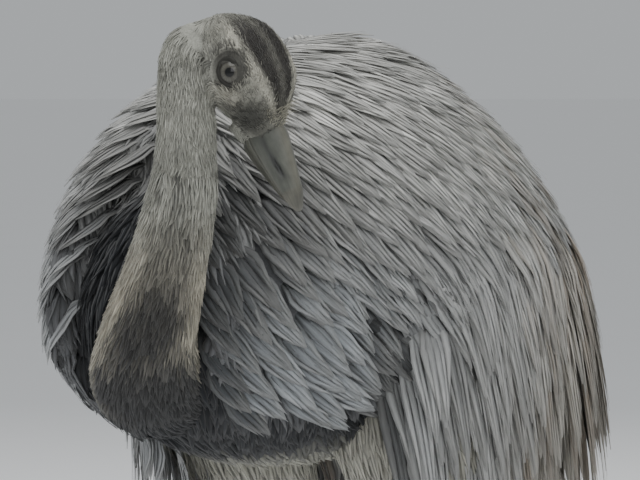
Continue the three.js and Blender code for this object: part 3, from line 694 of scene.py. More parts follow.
def tubePoint(path, u, angle, grow=0.0):
    u = np.asarray(u, float)
    here = pathPoint(path, u)
    along = unit(pathPoint(path, u + 0.002) - pathPoint(path, u - 0.002))
    side = unit(np.cross((0, 1, 0.35), along))
    other = np.cross(along, side)
    r = radiusAt(path, u) + grow
    out = side * np.cos(angle)[..., None] + other * np.sin(angle)[..., None]
    return here + out * r[..., None], out, along


def legPlace(p, side):
    p = np.array(p, float)
    slide = -legSizes["stagger"] if side > 0 else legSizes["stagger"]
    p[..., 1] += slide * (1 - smooth(60, 620, p[..., 2]))
    p[..., 0] *= side
    return p


def thighPath(side):
    path = np.array([[92, -10, 690, 80], [100, 10, 610, 84], [100, 45, 530, 62], [95, 80, 460, 40],
                     [91, 101, 410, 27]], float)
    path[:, :3] = legPlace(path[:, :3], side)
    return path


headSizes = {"back": 46.0, "front": -60.0, "width": 31.0, "top": 30.0, "bottom": 33.0}


# Brows, cheeks, and the right cheek and ear where the bent neck presses on them
headSwells = (((21, -6, 19), (12, 28, 9), 3.0), ((-21, -6, 19), (12, 28, 9), 3.0),
              ((20, -24, -20), (16, 24, 14), 6.0), ((-20, -24, -20), (16, 24, 14), 6.0),
              ((-25, 12, -19), (19, 30, 22), 15.0))


def headPoint(s, angle, grow=0.0):  # s is 1 at the nape and -1 at the bill; angle from the crown
    f = np.clip(-s, 0, 1)
    y = np.where(s > 0, s * (headSizes["back"] + grow), -s * (headSizes["front"] - grow))
    blunt = np.maximum(0, 1 - np.abs(s) ** np.where(s > 0, 2.2, 3.4)) ** (1 / 2.1)
    z = np.cos(angle)
    wide = headSizes["width"] * (1 - 0.34 * smooth(0.3, 1, f)) + grow
    high = np.where(z > 0, headSizes["top"] * (1 - 0.5 * smooth(0.35, 1, f)),
                    headSizes["bottom"] * (1 - 0.1 * f)) + grow
    p = stacked(np.sin(angle) * wide * blunt, y, -5 * smooth(0.2, 1, f) + z * high * blunt)
    for at, size, rise in headSwells:
        away = (((p - np.array(at)) / size) ** 2).sum(-1)
        swell = rise * np.exp(-away * 1.2)
        p = p + stacked(np.sin(angle), 0, np.cos(angle)) * swell[..., None]
    return p


def remeshed(ringSets, voxel, smoothing):  # joins closed forms into one surface
    forms = [added("form", plainMesh(*ringForm(rings))) for rings in ringSets]
    with bpy.context.temp_override(active_object=forms[0], selected_editable_objects=forms,
                                   selected_objects=forms, object=forms[0]):
        bpy.ops.object.join()
    form = forms[0]
    form.modifiers.new("voxels", "REMESH").voxel_size = voxel
    even = form.modifiers.new("even", "SMOOTH")
    even.iterations = smoothing
    even.factor = 0.5
    points, corners, _ = evaluated(form)
    bpy.data.objects.remove(form)
    return points, corners.reshape(-1, 4)


def onWing(p):  # 1 under the folded wings
    low = lowEdge(p)
    return smooth(low - 4, low + 22, p[..., 2]) * smooth(1.0, 1.3, breastRing(p))


skinSizes = {"bodyVoxel": 5.0, "headVoxel": 1.25, "underDown": 5.0, "underWing": 4.0, "underHair": 1.6,
             "split": 0.52}


def skinOut(p):
    wing = onWing(p)
    return mix(-skinSizes["underDown"], shellDepth(p) - skinSizes["underWing"], wing)


def bodyForms():
    t, around = roundGrid(endToEnd(140), 180)
    yield onBody(t, around, skinOut(onBody(t, around)))
    u, angle = roundGrid(np.linspace(0, skinSizes["split"], 50), 48)
    yield tubePoint(neckPath, u, angle, -skinSizes["underHair"] - 1.2)[0]
    u, angle = roundGrid(np.linspace(0, 0.99, 50), 48)
    for side in (1, -1):
        yield tubePoint(thighPath(side), u, angle, -5.0)[0]


def billRoot():  # soft skin that runs out over the base of the bill
    s, angle = roundGrid(40, 64)
    x, z = np.sin(angle), np.cos(angle)
    over = mix(3.5, -1.6, s)
    wide = mix(19.5, 16.0, s) + over
    high = np.where(z > 0, mix(25.0, 19.5, s), mix(22.0, 17.0, s)) + over
    y = -34 - 30 * s - 6 * s * np.maximum(0, z) + 5 * s * np.abs(x)
    return stacked(x * wide, y, -22 + z * high)


def eased(points, quads, weight, rounds):  # smooths a surface where its weight is high
    a, b = quads.ravel(), np.roll(quads, -1, 1).ravel()
    here, there = np.r_[a, b], np.r_[b, a]
    count = np.maximum(np.bincount(here, minlength=len(points)), 1)
    for _ in range(rounds):
        near = np.stack([np.bincount(here, points[there, i], len(points)) for i in range(3)], -1) / count[:, None]
        points = points + (near - points) * (0.6 * weight)[:, None]
    return points


def fromEllipsoid(h):  # above 1 outside the head
    return np.sqrt(((h / stacked(31.0, np.where(h[:, 1] > 0, 46.0, 60.0), 31.0)) ** 2).sum(1))


def nearPath(p, path, count=60):  # distance from a path less its radius there
    u = np.linspace(0, 1, count)
    return (np.linalg.norm(p[:, None] - pathPoint(path, u)[None], axis=-1) - radiusAt(path, u)).min(1)


def headForms():
    u, angle = roundGrid(np.linspace(skinSizes["split"] - 0.03, 1, 90), 64)
    yield toHead(tubePoint(neckPath, u, angle, -skinSizes["underHair"])[0])
    s, angle = roundGrid(endToEnd(90), 96)
    yield headPoint(s, angle, -skinSizes["underHair"])
    yield billRoot()
    # The full nape, where the feathers stand up over the bend of the neck
    a, b = roundGrid(np.linspace(0.01, math.pi - 0.01, 30), 40)
    yield stacked(np.sin(a) * np.cos(b) * 21, np.sin(a) * np.sin(b) * 14, np.cos(a) * 20) + (-9, 36, -4)


bodyPoints, bodyQuads = remeshed(bodyForms(), skinSizes["bodyVoxel"], 4)
headPoints, headQuads = remeshed(headForms(), skinSizes["headVoxel"], 8)
inNeck = np.abs(nearPath(fromHead(headPoints), neckPath))
join = (1 - smooth(7, 20, inNeck)) * (1 - smooth(0.25, 0.6, np.abs(fromEllipsoid(headPoints) - 1)))
join = np.maximum(join, 0.9 * (1 - smooth(6, 12, np.abs(headPoints[:, 1] + 50))))
join *= smooth(19, 24, np.minimum(eyeRing(headPoints, 1), eyeRing(headPoints, -1)))
headPoints = eased(headPoints, headQuads, join, 160)
print("skin joined:", len(bodyQuads), "and", len(headQuads), "faces")


# Markings, with painted shade over the ears, the same on skin and feathers
def painted(p, ground, *marks):  # marks are (hex colour, how much of it), one over the other
    tint = np.broadcast_to(linear(ground), p.shape)
    for hexColour, amount in marks:
        tint = mix(tint, linear(hexColour), np.clip(amount, 0, 1)[..., None])
    return tint


def spot(p, at, size, sharp=1.0):
    return np.exp(-((((p - np.array(at)) / np.array(size)) ** 2).sum(-1)) ** sharp)


def eyePatch(h, side):  # dark skin round the eye, wider above and behind it
    ring = eyeRing(h, side)
    corner, upper = eyeAxes(side)[1:]
    above = ((h - eyeCentre(side)) @ (0.6 * corner + 0.8 * upper)) / np.maximum(ring, 1)
    wide = 17.5 + 3.0 * smooth(-0.5, 1, above)
    return (1 - smooth(wide - 4, wide + 2, ring)) * 0.95


def headTint(h):  # h in the head frame
    m = np.abs(h * (1, 0, 0)) + h * (0, 1, 1)
    x, y, z = (m[..., i] for i in range(3))
    fromTop = np.degrees(np.arctan2(x, z + 4))
    brow = np.interp(y, (-52, -16, 18, 46), (24, 36, 45, 50))  # the pale band that borders the crown
    crown = (1 - smooth(-12, -1, fromTop - brow)) * smooth(-60, -44, y) * (1 - smooth(18, 44, y) * 0.75)
    pale = np.exp(-((fromTop - brow - 4) / 7) ** 2) * smooth(-58, -40, y) * (1 - smooth(26, 42, y))
    lore = spot(m, (22, -42, -7), (19, 19, 19), 2.0) * smooth(2, 9, fromTop - brow)
    # The darker spot (605f59) behind and below each eye is painted shade over the ear
    return painted(h, "86857c", ("aaa79a", spot(m, (31, -20, -8), (12, 15, 12)) * 0.9),
                   ("605f59", spot(m, (38, 20, -16), (14, 13, 12)) * 0.8),
                   ("312f2c", crown * (1 - 0.3 * np.exp(-(x / 4) ** 2))), ("aaa79a", pale * 0.9),
                   ("3a3a36", np.maximum(lore, 1 - smooth(-58, -50, y)) * 0.95),
                   ("42413d", eyePatch(h, 1)), ("42413d", eyePatch(h, -1)))


def neckTint(p):
    x, z = p[..., 0], p[..., 2]
    centre = pathPoint(neckPath, np.clip((z - 640) / 340, 0, 1))
    front = unit(p - centre) @ unit(np.array([0.5, -0.85, -0.1]))
    worn = 0.12 * np.sin(z * 0.11 + 9 * front) + 0.06 * np.sin(x * 0.5)
    streak = smooth(0.5, 0.94, front + worn * 0.6) * (1 - smooth(730, 900, z + 90 * worn))
    return painted(p, "98988f", ("a8a292", 1 - smooth(760, 850, z)), ("1b1c1f", streak * 0.95),
                   ("1c1e21", 1 - smooth(622, 716, z)))


def upperTint(h):  # where the neck's colours give way to the head's
    return mix(headTint(h), neckTint(fromHead(h)), smooth(1.08, 1.35, fromEllipsoid(h))[:, None])


def bodyTint(p):
    pale = 1 - smooth(560, 612, p[..., 2] - 0.08 * (p[..., 1] + 250))
    return painted(p, "1e2023", ("a3a296", pale), ("626365", onWing(p)))


def skinPiece():
    neck = smooth(-300, -330, bodyPoints[:, 1])[:, None]
    body = mix(bodyTint(bodyPoints), neckTint(bodyPoints), neck)
    head = headPoints
    ear = spot(head, (28, 24, -9), (6, 7, 5), 2) + spot(head, (-39, 20, -14), (7, 7, 5), 2)
    mouth = np.exp(-((head[:, 2] + 23) / 0.9) ** 2) * smooth(-34, -42, head[:, 1])
    inward = stacked(-np.sign(head[:, 0]) * (2.5 * ear + 1.3 * mouth), 0, 0)
    for side in (1, -1):  # fine folds round the lids
        ring = eyeRing(head, side)
        fold = 0.55 * np.cos((ring - 14) * 2.0) * np.exp(-((ring - 16) / 4.5) ** 2)
        inward = inward + fold[:, None] * eyeAxes(side)[0]
    # Painted shade in the ear openings and along the mouth line
    tint = mix(upperTint(head), linear("2b2926"), np.clip(ear * 0.6 + mouth, 0, 1)[:, None])
    points = np.r_[bodyPoints, fromHead(head + inward)]
    quads = np.r_[bodyQuads, headQuads + len(bodyPoints)]
    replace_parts(makePiece("skin", points, [quads], featheredSkin, "breast_feathers", np.r_[body, tint]),
                "torso", "neck_lower", "neck_upper", "head", "thigh_left", "thigh_right")


skinPiece()
print("skin made")

# Feathers of the folded wings
wingStyle = {
    "tierStep": 20.0, "spacing": 15.0, "width": 19.0, "covert": 92.0, "plume": 235.0, "locks": 5, "steps": 5,
    "base": 1.0, "sink": 6.0, "camber": 1.5, "pile": 0.9, "puff": 0.8, "ragged": 0.3, "gather": 0.35, "stray": 1.3,
    "bend": 3.0, "overlap": 1.9, "crest": 0.09, "vary": 0.1, "rootShade": 0.6, "shadeEnd": 0.7,
}


def rootPlace(u, v, size):  # where a feather's root lies on the baked square
    return stacked(u, v) * size + (1 - size) / 2


def wingRoots(side, wing):
    polars, arounds = [], []
    polar, tier = math.radians(15), 0
    while polar < 2.8:
        ring = readMap(wing["points"], np.full(60, polar), np.linspace(0, fullTurn, 60))
        reach = np.linalg.norm(ring - middle, axis=1).mean()
        count = max(8, int(fullTurn * reach * math.sin(polar) / wingStyle["spacing"]))
        around = (np.arange(count) + 0.5 * (tier % 2) + chance.uniform(-0.22, 0.22, count)) / count
        polars.append(polar + chance.uniform(-0.3, 0.3, count) * wingStyle["tierStep"] / reach)
        arounds.append(around * fullTurn)
        polar += wingStyle["tierStep"] / reach
        tier += 1
    polar, around = np.concatenate(polars), np.concatenate(arounds)
    p = readMap(wing["points"], polar, around)
    keep = (p[:, 0] * side > -4) & (p[:, 2] > lowEdge(p) + 8) & (breastRing(p) > 1.05)
    return polar[keep], around[keep], p[keep]


def wingTint(p, long):
    x, y, z = p.T
    low = (1 - smooth(-220, -60, y)) * (1 - smooth(700, 860, z)) * 0.9
    wide = 50 + 44 * smooth(690, 810, z)
    # Painted light: towards the bird's right side (-X) the dark patch is weakened and the feathers are painted paler
    # (b2b3b3), lifting the shade that falls on that side
    dark = (np.exp(-((x - 34) / wide) ** 4) * (1 - smooth(-200, -80, y))
            * (1 - smooth(840, 930, z)) * (0.9 - 0.5 * smooth(10, -50, x)))
    brown = (chance.uniform(0, 1, len(p)) < 0.4) * smooth(-60, 130, y)
    tint = painted(p, "a6a6a4", ("94999d", low), ("c6c5bf", smooth(790, 920, z) * 0.8),
                   ("aea79a", long * smooth(-60, 160, y) * 0.8), ("b2b3b3", smooth(20, -130, x) * 0.8),
                   ("1b1d20", dark), ("8a7c6c", brown * 0.75))
    # Painted shade in the cleft between the front coverts and the plumes, together with the darker undersides of the
    # feathers there
    return tint * (1 - 0.8 * creaseAt(p) ** 2)[:, None] * (1 + chance.normal(0, 0.08, len(p)))[:, None]


def wingPieces(side, word):
    wing = wingMap(side)
    polar, around, p = wingRoots(side, wing)
    high = unit(readMap(wing["normals"], polar, around))[:, 2]
    long = ((p[:, 1] > -140) & (high < mix(0.3, 0.66, smooth(60, 240, p[:, 1])))).astype(float)
    grow = chance.uniform(0.88, 1.12, len(p))
    covert = wingStyle["covert"] * mix(0.7, 1.0, smooth(-300, 100, p[:, 1]))
    length = mix(covert, wingStyle["plume"] * chance.uniform(0.55, 1.0, len(p)), long) * grow
    order = np.argsort(p[:, 1])
    for number, rows in enumerate(np.array_split(order, 2)):
        n, isLong = len(rows), long[rows]
        lines, normals, sides = featherLines(wing, polar[rows], around[rows], length[rows], 10)
        width = wingStyle["width"] * mix(1, 1.25, isLong) * chance.uniform(0.9, 1.15, n)
        lift = mix(8.0, 14.0, isLong) + chance.uniform(0, 4, n)
        style = dict(wingStyle, length=length[rows], width=width, lift=lift)
        rootUv = rootPlace(around[rows] / fullTurn, polar[rows] / math.pi, 0.98)
        yield feathers(f"wing_feathers_{word}_{number}", lines, normals, sides, style,
                       wingTint(p[rows], isLong), wingVane, "wing_feathers", rootUv)
    print("wing", word, len(p), "feathers")


for side, word in bothSides:
    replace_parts(list(wingPieces(side, word))[0], f"wing_{word}")

# Loose wisps: single barbs that have come free of the plumes
wispStyle = {"count": 240, "length": 62.0, "thick": 0.45}


def wispPiece():
    for side, word in bothSides:
        wing = wingMap(side)
        n = wispStyle["count"]
        polar, around = chance.uniform(0.9, 1.9, n), chance.uniform(0, fullTurn, n)
        p = readMap(wing["points"], polar, around)
        keep = (p[:, 0] * side > 6) & (p[:, 1] > -60) & (p[:, 2] > lowEdge(p) + 20)
        polar, around = polar[keep], around[keep]
        n = len(polar)
        length = wispStyle["length"] * chance.uniform(0.6, 1.3, n)
        lines, normals, sides = featherLines(wing, polar, around, length, 6)
        s = np.linspace(0, 1, 7)[None, :]
        out = chance.uniform(6, 15, n)[:, None] * s + 4
        aside = chance.normal(0, 9, n)[:, None] * s ** 2
        lines = lines + normals * out[..., None] + sides * aside[..., None]
        half = np.broadcast_to(wispStyle["thick"] * (1 - 0.8 * s), (n, 7))
        points, faces = strands(lines, normals, sides, half, half, lens)
        tint, uv = painted(points, "b5b2a8"), points[:, ::2] / 25
        rootUv = np.repeat(rootPlace(around / fullTurn, polar / math.pi, 0.98), 28, axis=0)
        bake = rootUv + np.tile(stacked(0, np.linspace(-0.0013, 0.0013, 7)).repeat(4, 0), (n, 1))
        makePiece(f"wisps_{word}", points, faces, wingVane, "wing_feathers", tint, uv, bake,
                  np.full(len(points), 0.6, np.float32))


wispPiece()
print("wisps made")

# Soft feathers of the breast, belly and flanks, which lie on the body below the wings
downStyle = {
    "row": 15.0, "length": 58.0, "width": 17.0, "locks": 4, "steps": 4, "base": 0.5, "sink": 4.0, "camber": 1.0,
    "pile": 1.2, "puff": 1.8, "ragged": 0.35, "gather": 0.2, "stray": 2.2, "bend": 4.0, "overlap": 1.7,
    "crest": 0.2, "vary": 0.1, "rootShade": 0.65, "shadeEnd": 0.7,
}


def surfaceUp(p, outAt):
    step = np.eye(3) * 1.5
    slope = [outsideBody(p + d, outAt(p + d)) - outsideBody(p - d, outAt(p - d)) for d in step]
    return unit(np.stack(slope, -1))


def surfaceLines(p, flow, length, steps, outAt):
    lines, normals, sides = [], [], []
    for k in range(steps + 1):
        up = surfaceUp(p, outAt)
        along = squared(flow, up)
        lines.append(p)
        normals.append(up)
        sides.append(np.cross(along, up))
        p = shellPoint(p + along * (length / steps)[:, None] - middle, outAt)
    return [np.stack(v, 1) for v in (lines, normals, sides)]


def downRoots():
    rows = []
    t = -0.985
    while t < 0.985:
        reach = fullTurn * body["halfWidth"] * 1.1 * float(fullness(np.array(t)))
        count = max(6, int(reach / downStyle["row"]))
        around = (np.arange(count) + chance.uniform(-0.35, 0.35, count)) * fullTurn / count
        rows.append(onBody(np.full(count, t) + chance.uniform(-0.012, 0.012, count), around, -1.0))
        slope = 1 / max(0.35, float(fullness(np.array(t))))
        t += downStyle["row"] / body["halfLength"] / slope
    p = np.concatenate(rows)
    topLine = (np.abs(p[:, 0]) < 15) & (p[:, 2] > body["midZ"] + 40)
    rearLine = (np.abs(p[:, 0]) < 36) & (p[:, 1] > 190) & (p[:, 2] < body["midZ"] + 40)
    keep = ((onWing(p) < 0.75) | (breastRing(p) < 1.55) | topLine | rearLine) & (nearPath(p, neckPath) > -10)
    for side in (1, -1):
        keep &= nearPath(p, thighPath(side)) > -8
    return p[keep]


def downPiece():
    out = lambda p: skinOut(p) + 2.0
    p = downRoots()
    flow = unit(stacked(p[:, 0] * 0.0015, 0.25 + 0.5 * smooth(-260, 0, p[:, 1]), -1))
    length = downStyle["length"] * chance.uniform(0.8, 1.2, len(p)) * mix(1.0, 1.35, smooth(0, 300, p[:, 1]))
    length = length * (1 + 0.9 * (np.abs(p[:, 0]) < 36) * smooth(190, 230, p[:, 1]))
    lines, normals, sides = surfaceLines(shellPoint(p - middle, out), flow, length, 4, out)
    width = downStyle["width"] * chance.uniform(0.8, 1.25, len(p))
    style = dict(downStyle, length=length, width=width, lift=chance.uniform(2.5, 7.0, len(p)))
    bearing = np.arctan2(p[:, 0], p[:, 2] - body["midZ"]) / fullTurn + 0.5
    rootUv = rootPlace(bearing, (p[:, 1] - body["midY"]) / 720 + 0.5, 0.98)
    mantle = onWing(p) * np.maximum(smooth(760, 860, p[:, 2]), smooth(120, 220, p[:, 1])) * (breastRing(p) > 1)
    tint = mix(bodyTint(p), linear("8b8b89"), np.clip(mantle, 0, 1)[:, None])
    feathers("body_feathers", lines, normals, sides, style, tint * 1.1, bodyDown, "breast_feathers", rootUv)
    print("body", len(p), "feathers")


downPiece()

# Downy feathers of the thighs
thighStyle = dict(downStyle, row=13.0, length=46.0, width=15.0, base=0.0, sink=3.0, camber=0.8, puff=1.6,
                  stray=1.8, bend=3.0, vary=0.07, rootShade=0.7)


def thighPiece(side, word):
    path = thighPath(side)
    span = pathLength(path, 60)
    us, angles = [], []
    for u in np.arange(0.12, 0.985, thighStyle["row"] / span):
        count = int(fullTurn * radiusAt(path, u) / thighStyle["row"])
        us.append(np.full(count, u) + chance.uniform(-0.012, 0.012, count))
        angles.append((np.arange(count) + chance.uniform(-0.3, 0.3, count)) * fullTurn / count)
    u, angle = np.concatenate(us), np.concatenate(angles)
    p = tubePoint(path, u, angle)[0]
    low = outsideBody(p, np.zeros(len(p))) > -0.12
    u, angle, p = u[low], angle[low], p[low]
    length = thighStyle["length"] * chance.uniform(0.8, 1.15, len(u)) * mix(1.0, 0.5, smooth(0.6, 1, u))
    at = np.minimum(u[:, None] + np.linspace(0, 1, 5) * (length / span)[:, None], 1.0)
    lines, normals, along = tubePoint(path, at, np.broadcast_to(angle[:, None], at.shape), -2.0)
    width = thighStyle["width"] * mix(1, 0.55, smooth(0.5, 1, u))
    lift = chance.uniform(2, 6, len(u)) * mix(1, 0.4, smooth(0.6, 1, u))
    style = dict(thighStyle, length=length, width=width, lift=lift)
    tint = painted(p, "a5a398") * (1 - 0.15 * smooth(0.7, 1, u))[:, None]
    feathers(f"thigh_feathers_{word}", lines, normals, np.cross(along, normals), style, tint, bodyDown,
             "thigh_feathers", rootPlace(angle / fullTurn, u, 0.96))


for side, word in bothSides:
    thighPiece(side, word)
print("thighs feathered")

# Short hair-like feathers of the neck and head
neckStyle = {
    "row": 5.6, "length": 23.0, "width": 6.2, "locks": 3, "steps": 3, "base": 0.2, "sink": 1.2, "camber": 0.3,
    "pile": 0.5, "puff": 0.5, "ragged": 0.35, "gather": 0.1, "stray": 1.2, "bend": 2.0, "overlap": 1.25,
    "crest": 0.35, "vary": 0.24, "rootShade": 0.58, "shadeEnd": 0.8,
}
headStyle = dict(neckStyle, row=3.8, length=9.5, width=3.7, base=0.1, sink=0.8, camber=0.1, pile=0.3, puff=0.35,
                 ragged=0.3, stray=0.9, bend=1.2, overlap=1.2, crest=0.4, vary=0.17, rootShade=0.68)


def nearestShare(p, count=120):  # how far along the neck's middle line each point lies
    u = np.linspace(0, 1, count)
    at = pathPoint(neckPath, u)
    return np.concatenate([u[np.linalg.norm(q[:, None] - at[None], axis=-1).argmin(1)]
                           for q in np.array_split(p, 8)])


def insideHead(p, share=0.9):
    h = toHead(p) / (31, 1, 31)
    h[:, 1] /= np.where(h[:, 1] > 0, 46, 60)
    return (h ** 2).sum(1) < share


def neckPieces():
    span = pathLength(neckPath, 90)
    steps = np.linspace(0.02, 0.99, 400)
    speed = np.linalg.norm(pathPoint(neckPath, steps + 0.002) - pathPoint(neckPath, steps - 0.002), axis=1) / 0.004
    us, angles = [], []
    u = 0.08
    while u < 0.6:
        row = neckStyle["row"] * mix(1.5, 1.0, float(smooth(0.1, 0.4, u)))
        count = int(fullTurn * radiusAt(neckPath, u) / row)
        us.append(np.full(count, u) + chance.uniform(-0.4, 0.4, count) * row / span)
        angles.append((np.arange(count) + chance.uniform(-0.4, 0.4, count)) * fullTurn / count)
        u += row / np.interp(u, steps, speed)
    u, angle = np.concatenate(us), np.concatenate(angles)
    p = tubePoint(neckPath, u, angle)[0]
    keep = ~insideHead(p, 0.8) & (outsideBody(p, np.full(len(p), 2.0)) > -0.1)
    u, angle, p = u[keep], angle[keep], p[keep]
    for number, rows in enumerate(np.array_split(np.argsort(u), 2)):
        n = len(rows)
        length = neckStyle["length"] * chance.uniform(0.75, 1.2, n) * mix(1.9, 0.8, smooth(0.08, 0.7, u[rows]))
        reach = (length / np.interp(u[rows], steps, speed))[:, None]
        at = np.maximum(u[rows, None] - np.linspace(0, 1, 5) * reach, 0.0)
        lines, normals, along = tubePoint(neckPath, at, np.broadcast_to(angle[rows, None], at.shape), -1.6)
        size = mix(1.7, 1.0, smooth(0.1, 0.45, u[rows]))
        style = dict(neckStyle, length=length, width=neckStyle["width"] * size,
                     lift=chance.uniform(1.2, 3.0, n) * size)
        feathers(f"neck_feathers_{number}", lines, normals, np.cross(-along, normals), style,
                 neckTint(p[rows]) * 1.1, hairFeather, "neck_feathers",
                 rootPlace(angle[rows] / fullTurn, u[rows], 0.96))
    print("neck", len(u), "tufts")


headTree = BVHTree.FromPolygons(headPoints.tolist(), headQuads.tolist())


def onSkin(p):  # the nearest points of the skin of head and upper neck, and its normals there
    hits = [headTree.find_nearest(v)[:2] for v in p.tolist()]
    return (np.array([hit[i][:] for hit in hits]) for i in (0, 1))


def headPiece():  # tufts rooted on that skin, combed from the bill over the head and down the neck
    low = nearestShare(fromHead(headPoints))
    onFace = fromEllipsoid(headPoints) < 1.2
    cell = np.where(onFace, headStyle["row"], neckStyle["row"] * 0.8)[:, None]
    order = chance.permutation(len(headPoints))
    cells = np.floor(headPoints[order] / cell[order]).astype(int)
    first = np.unique(np.c_[cells, onFace[order]], axis=0, return_index=True)[1]
    rows = order[first]
    h = headPoints[rows]
    ring = np.minimum(eyeRing(h, 1), eyeRing(h, -1))
    keep = (ring > 14.0) & (low[rows] > 0.56) & (h[:, 1] > -61 + 5 * (np.abs(h[:, 0]) > 8))
    keep &= ~((np.abs(h[:, 2] + 23) < 1.5) & (h[:, 1] < -36))
    keep &= chance.uniform(0, 1, len(h)) < mix(0.45, 1.0, smooth(-60, -46, h[:, 1]))
    h = h[keep]
    n = len(h)
    neckness = smooth(1.0, 1.3, fromEllipsoid(h))
    front = 1 - smooth(-50, 10, h[:, 1])
    length = mix(headStyle["length"] * mix(1.1, 0.6, front), neckStyle["length"] * 0.85, neckness)
    length = length * chance.uniform(0.75, 1.2, n)
    turn = chance.normal(0, 0.12, n)
    lines, normals, sides = [], [], []
    p = h
    for k in range(5):
        p, up = onSkin(p)
        share = nearestShare(fromHead(p))
        down = pathPoint(neckPath, share - 0.02) - pathPoint(neckPath, np.minimum(share, 0.9))
        flow = mix(unit(p - np.array([0, -58.0, -12.0])), unit(down @ headAxes.T),
                   smooth(1.0, 1.5, fromEllipsoid(p))[:, None])
        along = squared(flow, up)
        along = unit(along + np.cross(up, along) * turn[:, None])
        lines.append(p - up * 0.8)
        normals.append(up)
        sides.append(np.cross(along, up))
        p = p + along * (length / 4)[:, None]
    lines, normals, sides = (np.stack(v, 1) for v in (lines, normals, sides))
    for number, rows in enumerate(np.array_split(np.argsort(h[:, 1]), 2)):
        wide = mix(1.0, 1.5, neckness[rows])
        style = dict(headStyle, length=length[rows], width=headStyle["width"] * wide,
                     lift=chance.uniform(0.6, 1.7, len(rows)) * wide)
        around = np.arctan2(h[rows, 0], h[rows, 2]) / fullTurn + 0.5
        feathers(f"head_feathers_{number}", fromHead(lines[rows]), normals[rows] @ headAxes,
                 sides[rows] @ headAxes, style, upperTint(h[rows]) * 1.1, hairFeather, "neck_feathers",
                 rootPlace(around, np.clip((h[rows, 1] + 62) / 200, 0, 1), 0.96))
    print("head", n, "tufts")


neckPieces()
headPiece()

# Tail tuft under the wings' plumes
tailStyle = {
    "at": (0, 268, 590), "along": (0, 0.62, -0.78), "halfWidth": 70.0, "length": 150.0, "width": 27.0, "count": 26,
    "locks": 7, "steps": 5, "base": 0.0, "sink": 0.0, "camber": 1.0, "pile": 1.0, "puff": 1.0, "ragged": 0.3,
    "gather": 0.3, "stray": 1.5, "bend": 3.0, "overlap": 1.8, "crest": 0.14, "vary": 0.08, "rootShade": 0.6,
    "shadeEnd": 0.7,
}


def tailPiece():
    n = tailStyle["count"]
    along = unit(np.array(tailStyle["along"]))
    out = np.cross((1, 0, 0), along)
    across = np.tile(np.linspace(-1, 1, n // 2), 2) + chance.uniform(-0.04, 0.04, n)
    level = np.repeat([3.0, -4.0], n // 2)
    length = tailStyle["length"] * chance.uniform(0.85, 1.1, n)
    s = np.linspace(-0.12, 1, 6)
    fan = across * 0.35
    way = along * np.cos(fan)[:, None] + np.array([1, 0, 0]) * np.sin(fan)[:, None]
    root = (np.array(tailStyle["at"]) + np.outer(across, (1, 0, 0)) * tailStyle["halfWidth"] * 0.86
            + along * (30 - 14 * across ** 2)[:, None])
    lines = root[:, None] + way[:, None] * (s[None, :] * length[:, None])[..., None] \
        + np.array([0, 0, -1.0]) * (s ** 2 * 14)[None, :, None]
    heading = unit(np.gradient(lines, axis=1))
    normals = squared(out, heading)
    style = dict(tailStyle, length=length, width=np.full(n, tailStyle["width"]), lift=level)
    tint = painted(root, "8d877e")
    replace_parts(feathers("tail_feathers", lines, normals, np.cross(heading, normals), style, tint, wingVane,
                         "wing_feathers", stacked(across * 0.45 + 0.5, level / 20 + 0.5)), "tail_tuft")


tailPiece()
print("tail made")

# Bill
billSizes = {"base": -46.0, "tip": -124.0, "mouth": -23.0, "mouthTip": -21.0, "wide": 19.0, "wideTip": 6.0,
             "culmen": 28.0, "culmenTip": 4.5, "jaw": 23.0, "jawTip": 3.0}


def billForm(isUpper):
    b = billSizes
    s, angle = roundGrid((1 - np.cos(np.linspace(0.02, math.pi - 0.02, 90))) / 2, 72)
    x, z = np.sin(angle), np.cos(angle)
    full = (1 - np.abs(2 * s - 1) ** 6) ** (1 / 2.2)
    taper = (1 - s) ** 0.8
    wide = mix(b["wideTip"], b["wide"], taper) * full
    mouth = mix(b["mouth"], b["mouthTip"], s)
    length = b["tip"] if isUpper else b["tip"] + 4
    high = mix(b["culmenTip"], b["culmen"], taper) if isUpper else mix(b["jawTip"], b["jaw"], taper)
    outer = z if isUpper else -z
    shown = np.maximum(0, outer) ** (1.25 if isUpper else 0.9) * high * full
    h = stacked(x * wide, mix(b["base"], length, s), mouth + (0.15 + shown if isUpper else -0.15 - shown))
    if isUpper:
        h[..., 2] -= 2.2 * smooth(0.8, 1, s) * np.maximum(0, z)
        side = np.abs(h[..., 0])
        up = h[..., 2] - mouth
        # Nasal groove with the nostril in it, the culmen's ridge, and the nail at the tip
        line = mix(12.5, 7.0, s)
        groove = np.exp(-((up - line) / 2.4) ** 2) * smooth(0.02, 0.2, s) * (1 - smooth(0.55, 0.75, s)) * (side > 3)
        nostril = np.exp(-(((h[..., 1] + 84) / 8.5) ** 2 + ((up - 10.5) / 1.5) ** 2) ** 1.5) * (side > 3)
        ridge = np.exp(-(side / 5.0) ** 2) * smooth(0.3, 0.8, z) * (1 - smooth(0.7, 0.85, s))
        nail = smooth(0.74, 0.78, s) * (1 - smooth(0.95, 1.0, s))
        edge = np.exp(-(up / 1.6) ** 2) * (outer > 0)
        push = -1.3 * groove - 2.6 * nostril + 0.9 * ridge + 0.45 * nail + 0.35 * edge
        h += stacked(x, 0, np.maximum(z, 0)) * push[..., None]
        # The nasal groove and the nostril are painted dark: painted shade in their hollows
        tint = painted(h, "4e5049", ("6d6b60", ridge * 0.8), ("2b2c2a", groove * 0.75 + nostril),
                       ("5d5a50", nail * 0.6), ("76736a", edge * 0.6), ("55534c", 1 - smooth(0.0, 0.12, s)))
    else:
        down = mouth - h[..., 2]
        groove = np.exp(-((down - mix(9.0, 3.5, s)) / 1.5) ** 2) * (1 - smooth(0.5, 0.75, s))
        h += stacked(x, 0, -np.maximum(-z, 0)) * (-0.8 * groove)[..., None]
        # The jaw's groove is painted dark: painted shade in it
        tint = painted(h, "55554d", ("333430", groove * 0.7), ("6b685e", smooth(0.75, 0.95, s) * 0.6))
    return h, s, angle, tint


